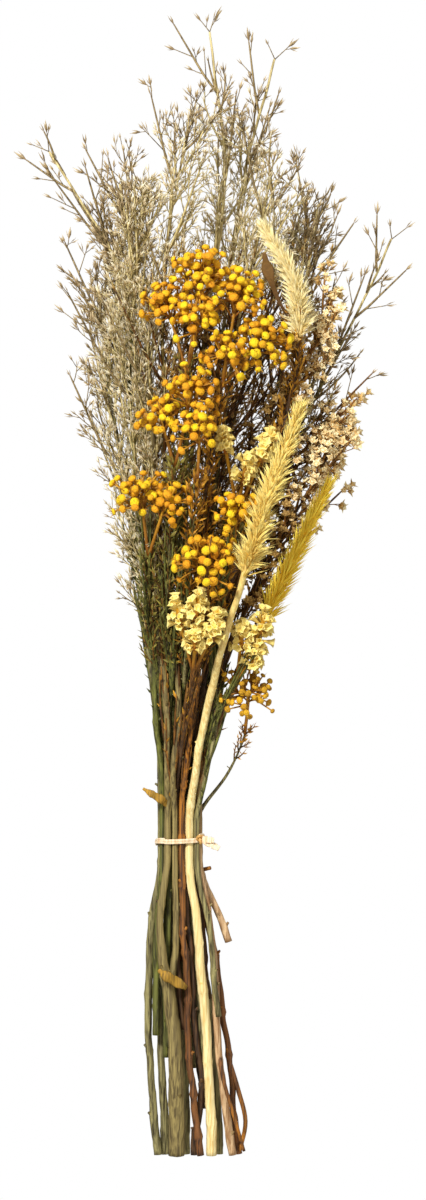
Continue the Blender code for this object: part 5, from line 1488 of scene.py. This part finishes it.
def dress_spike(piece, name, spine, radii):
    """Blades all round and up the spine, leaning less towards the tip, on a core of the same finish."""
    rng = piece.rng
    look, shape, count, wider, longer = SPIKE_LOOKS[name]
    plant = SPIKES[name]
    t = (np.arange(count) + 0.5) / count
    base, axis = (found[0] for found in read_paths(spine[None], t[None]))
    out = sideways(axis, rng.uniform(0, 2 * math.pi, count))
    lean = (math.radians(plant["lean"]) * (1.2 - 0.6 * t) * rng.uniform(0.4, 1.5, count))[:, None]
    axes = np.cos(lean) * axis + np.sin(lean) * out
    core = np.interp(t, np.linspace(0, 1, len(radii)), radii)[:, None]
    length = plant["seed_length"] * rng.uniform(0.55, 1.2, count) * (1 - 0.3 * t)
    places = base + out * core * 0.5
    piece.add(tubes(spine[None], radii[None] * 0.8, 8), look)
    sizes = np.column_stack([length * wider, length * wider, length * longer])
    piece.add_copies(shape, places, axes, sizes, look, smooth=False)
    if shape is FEATHER:
        fine = np.column_stack([length, length, length * AWN_LENGTH])
        piece.add_copies(BRISTLE, places[::2], axes[::2], fine[::2], look)


def dress_statice(piece, spine, radii):
    """A tuft of papery cups on rays from the spine, each of its own size, that lean forward to the tip."""
    rng, size = piece.rng, radii[0]
    t = 0.05 + 0.9 * (np.arange(CUPS) + 0.5) / CUPS
    base, axis = (found[0] for found in read_paths(spine[None], t[None]))
    around = GOLDEN_ANGLE * np.arange(CUPS) + rng.normal(0, 0.35, CUPS)
    lean = (1.55 - 1.3 * t + rng.normal(0, 0.25, CUPS))[:, None]
    axes = np.cos(lean) * axis + np.sin(lean) * sideways(axis, around)
    deep = size * rng.uniform(0.6, 1.2, CUPS)
    wide = size * rng.uniform(0.36, 0.62, CUPS)
    flat = wide * rng.uniform(0.6, 1.0, CUPS)
    sizes = np.column_stack([wide, flat, deep])
    piece.add_copies(CUP, base + axes * size * 0.1, axes, sizes, "statice_paper")
    piece.add_twigs(spine[None], size * 0.2, size * 0.2, 6, "button_green")


def fuller_cluster(name, stalks, sizes, rng):
    """The given buttons, and more on side stalks where there is room: (stalks, sizes).

    A side stalk leaves its parent at a third to three quarters of the way and leans off. It stays if
    its button is clear of all other plants and of this plant's buttons.
    """
    lines, reach = list(stalks), list(sizes)
    for parent, size in zip(stalks, sizes):
        axis = unit(parent[1] - parent[0])
        for _ in range(SIDE_STALKS):
            root = parent[0] + (parent[1] - parent[0]) * rng.uniform(0.35, 0.75)
            direction = turned(axis, rng.uniform(0.3, 1.2), rng.uniform(0, 2 * math.pi))
            own = size * rng.uniform(0.65, 0.95)
            end = root + direction * rng.uniform(5.5, 12.5)
            ball = end + np.outer([-0.25, 0.25], direction) * own
            apart = np.linalg.norm(np.array(lines)[:, 1] - end, axis=1) - np.array(reach) * 0.95 - own
            if apart.min() > 0 and bunch.is_clear(name, ball, [own, own]):
                lines.append(np.array([root, end]))
                reach.append(own)
    return np.array(lines), np.array(reach)


def dress_buttons(piece, name, stalks, sizes):
    """Every button of a plant: its stalk, its ring of bracts and its dome of florets."""
    stalks, sizes = fuller_cluster(name, stalks, sizes, piece.rng)
    curved, axes = smoothed(stalks, 3), normal(stalks[:, 1] - stalks[:, 0])
    piece.add_twigs(curved, 0.5, 0.4, 5, "button_green")
    size = sizes[:, None] * piece.rng.uniform(0.88, 1.14, (len(sizes), 3))
    look = "button_ochre" if name == "button_flower_8" else "button_yellow"
    # Each dome is amber at its foot, partly painted shade under it, and yellow at its top
    piece.add_copies(DOME, stalks[:, 1], axes, size, look)
    piece.add_copies(CALYX, stalks[:, 1], axes, size, "button_green", smooth=False)
    piece.add_blades(shoots(piece.rng, curved, **BUTTON_RAY), 1.0, "button_green")


# %% [markdown]
# ## Leaves, side shoots and the raffia
# A dried leaf is a thin ribbon that has curled and crumpled. The raffia is several flat strands side
# by side, tied in an overhand knot, whose line is the curve that mathematics calls a trefoil.

# %% Dress the rest
STRANDS, STRAND_PITCH = 3, 0.78
STRAND_HALF = (0.58, 0.36)  # a strand's half width and half thickness
STRAND_STEPS = 5  # rings to each of the band's steps
KNOT_SIZE, KNOT_DEPTH, KNOT_RADIUS = 0.75, 0.8, 0.72
# The leaf by the first cream spike's head gets the painted-shadow finish
LEAF_LOOKS = {"raffia_tie": "raffia", "cream_spike_1": "shadow_dark_leaf"}
# The plain parts of a plant: steps to a stretch, sides and finish
ROUND_PARTS = {"branch": (4, 7, "button_green"), "shoot": (6, 8, "rust_stem")}


def dress_leaf(piece, points, radii, look):
    """A thin ribbon along the leaf's line, with its edges waved by a sine of the length."""
    line = smoothed(points[None], 8)
    steps = np.linspace(0, 1, line.shape[1])
    size = np.interp(steps, np.linspace(0, 1, len(radii)), radii)
    line = line + (0.35 * np.sin(steps * 17 + piece.rng.uniform(0, 6)))[None, :, None] * UP
    ragged = 1.3 * (1 + 0.1 * np.sin(steps * 19) + 0.05 * np.sin(steps * 47 + 1.0))
    piece.add(tubes(line, size[None] * ragged, 10, flat=0.12), look)


def dress_band(piece):
    """Flat strands round the tie, each a closed ring of rings, that wander across the strip's width."""
    closed = smoothed(np.vstack([band[-2:], band, band[:3]])[None], STRAND_STEPS)[0, 2 * STRAND_STEPS:]
    closed = closed[: BAND_STEPS * STRAND_STEPS]
    turn = 2 * math.pi * np.arange(len(closed)) / len(closed)
    out = flat_out(closed - closed.mean(0))
    width = np.array([0.0, 1.0, 0.0])
    angle = 2 * math.pi * np.arange(8) / 8
    ring = STRAND_HALF[0] * np.cos(angle)[:, None] * width
    ring = ring + STRAND_HALF[1] * np.sin(angle)[:, None] * out[:, None]
    faces = ring_faces(len(closed) + 1, 8)[:, ::-1] % (len(closed) * 8)
    for k in range(STRANDS):
        shift = (k - 1) * STRAND_PITCH + 0.2 * np.sin(turn * (2 + k) + 2.0 * k)
        middle = closed + shift[:, None] * width + (0.12 * np.sin(3 * turn + 1.7 * k))[:, None] * out
        corners = (middle[:, None] + ring).reshape(1, -1, 3)
        piece.add(batch(corners, [faces], np.repeat(turn / (2 * math.pi), 8)), "raffia")


def dress_knot(piece, points):
    """An overhand knot: x and y follow sin t + 2 sin 2t and cos t - 2 cos 2t, and z follows -sin 3t."""
    middle = points.mean(0)
    t = np.linspace(0, 2 * math.pi, 61)[:, None]
    line = middle + KNOT_SIZE * (np.sin(t) + 2 * np.sin(2 * t)) * normal(points[-1] - points[0])
    line = line + KNOT_SIZE * (np.cos(t) - 2 * np.cos(2 * t)) * np.array([0.0, 1.0, 0.0])
    line = line - KNOT_DEPTH * np.sin(3 * t) * flat_out(middle - band.mean(0))
    piece.add_twigs(line[None], KNOT_RADIUS, KNOT_RADIUS, 8, "raffia_knot")


def dress_node(name, shapes, rng):
    """Gathers everything that one node shows, builds its piece and returns its triangles."""
    piece = Piece(name + "_dressed", rng)
    for kind, points, radii in shapes:
        if kind in ROUND_PARTS:
            steps, sides, look = ROUND_PARTS[kind]
            piece.add_twigs(smoothed(points[None], steps), radii[0], radii[-1], sides, look)
        elif kind == "leaf":
            dress_leaf(piece, points, radii, LEAF_LOOKS.get(name, "dry_leaf"))
        elif kind == "spike":
            dress_spike(piece, name, points, radii)
        elif kind == "statice":
            dress_statice(piece, points, radii)
        elif kind == "knot":
            dress_knot(piece, points)
    buttons = [(points, radii[1]) for kind, points, radii in shapes if kind == "button"]
    if buttons:
        dress_buttons(piece, name, *(np.array(part) for part in zip(*buttons)))
    if name == "raffia_tie":
        dress_band(piece)
    for plant in [plant for plant in PLANTS if PLANTS[plant].get("fork_of", plant) == name]:
        dress_stem(piece, plant, *stems[plant])
        habit = next((SPRAY_HABITS[family] for family in SPRAY_HABITS if plant.startswith(family)), None)
        if habit:
            plain = (habit["plain"][0], "shade_bud") if name in DARK_SPRAYS else habit["plain"]
            dress_spray(piece, stems[plant][0], shapes if plant == name else [], dict(habit, plain=plain))
    made, triangles = piece.build()
    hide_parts(name)
    return triangles


total = 0
for number, (name, shapes) in enumerate(bunch.nodes.items()):
    triangles = dress_node(name, shapes, np.random.default_rng(SEED + number))
    total += triangles
    print(name, triangles, "triangles")
print("all pieces", total, "triangles")

# %% [markdown]
# ## The table, the light and the camera
# The bouquet lies on a plain white floor under soft light from all round, and the camera looks
# straight down, which gives the photograph's view of the upright bunch.

# %% Floor, light and camera
IMAGE_WIDE, IMAGE_TALL = 426, 1200  # the photograph's own size in pixels
MM_PER_PIXEL = 0.5236
TIE_PIXEL = (179.0, 840.0)  # where the middle of the tie lies in the photograph
CAMERA_DISTANCE = 4.0
FOCUS_HEIGHT = 0.035  # the height above the table at which the scale holds
FLOOR_HALF = 3.0
FLOOR_LIGHT = 0.35  # how brightly the floor lights the bunch, as a share of how it looks
# Each light's place, size and power
LIGHTS = {"key": ((-0.9, 1.2, 1.9), 0.35, 66.0), "fill": ((1.4, -0.9, 1.8), 1.6, 8.0)}
WORLD_COLOUR, WORLD_STRENGTH = (1.0, 0.96, 0.86, 1.0), 0.55


def make_floor():
    """A white floor that lights the bunch less than it shows, so that the middle stays in the shade."""
    mesh = bpy.data.meshes.new("floor")
    corners = [(x * FLOOR_HALF, y * FLOOR_HALF, 0) for x, y in ((-1, -1), (1, -1), (1, 1), (-1, 1))]
    mesh.from_pydata(corners, [], [(0, 1, 2, 3)])
    floor = bpy.data.objects.new("floor", mesh)
    material = bpy.data.materials.new("floor_white")
    material.use_nodes = True
    tree = material.node_tree
    tree.nodes.remove(tree.nodes["Principled BSDF"])
    nodes = {
        "seen": node(tree, "ShaderNodeLightPath"),
        "glow": node(tree, "ShaderNodeEmission"),
        "strength": node(tree, "ShaderNodeMapRange"),
        "out": tree.nodes["Material Output"],
    }
    wire(tree, nodes, (("strength", "To Min", FLOOR_LIGHT), ("strength", "To Max", 1.0)), (
        ("seen", "Is Camera Ray", "strength", "Value"), ("strength", 0, "glow", "Strength"),
        ("glow", 0, "out", "Surface"),
    ))
    mesh.materials.append(material)
    bpy.context.scene.collection.objects.link(floor)


def make_light(name, place, size, power):
    """A square area light that looks at the origin."""
    light = bpy.data.lights.new(name, "AREA")
    light.size, light.energy = size, power
    made = bpy.data.objects.new(name, light)
    made.location = place
    made.rotation_euler = (-made.location).to_track_quat("-Z", "Y").to_euler()
    bpy.context.scene.collection.objects.link(made)


def make_camera():
    """A camera straight above the photograph's middle, with a lens that fits its height exactly."""
    data = bpy.data.cameras.new("camera")
    camera = bpy.data.objects.new("camera", data)
    right, up = IMAGE_WIDE / 2 - TIE_PIXEL[0], TIE_PIXEL[1] - IMAGE_TALL / 2
    place = (np.array([right * MM_PER_PIXEL, up * MM_PER_PIXEL, 0.0]) - SHIFT) * MM
    camera.location = (place[0], place[1], CAMERA_DISTANCE + FOCUS_HEIGHT)
    data.sensor_fit = "AUTO"
    data.sensor_width = 36.0
    data.lens = data.sensor_width * CAMERA_DISTANCE / (IMAGE_TALL * MM_PER_PIXEL * MM)
    data.clip_end = 20.0
    bpy.context.scene.collection.objects.link(camera)
    bpy.context.scene.camera = camera


make_floor()
for name, settings in LIGHTS.items():
    make_light(name, *settings)
make_camera()
world = bpy.data.worlds.new("world")
world.use_nodes = True
wire(world.node_tree, world.node_tree.nodes, (
    ("Background", "Color", WORLD_COLOUR), ("Background", "Strength", WORLD_STRENGTH)), ())
bpy.context.scene.world = world
bpy.context.scene.view_settings.view_transform = "Standard"
print("camera at", [round(c, 3) for c in bpy.context.scene.camera.location])
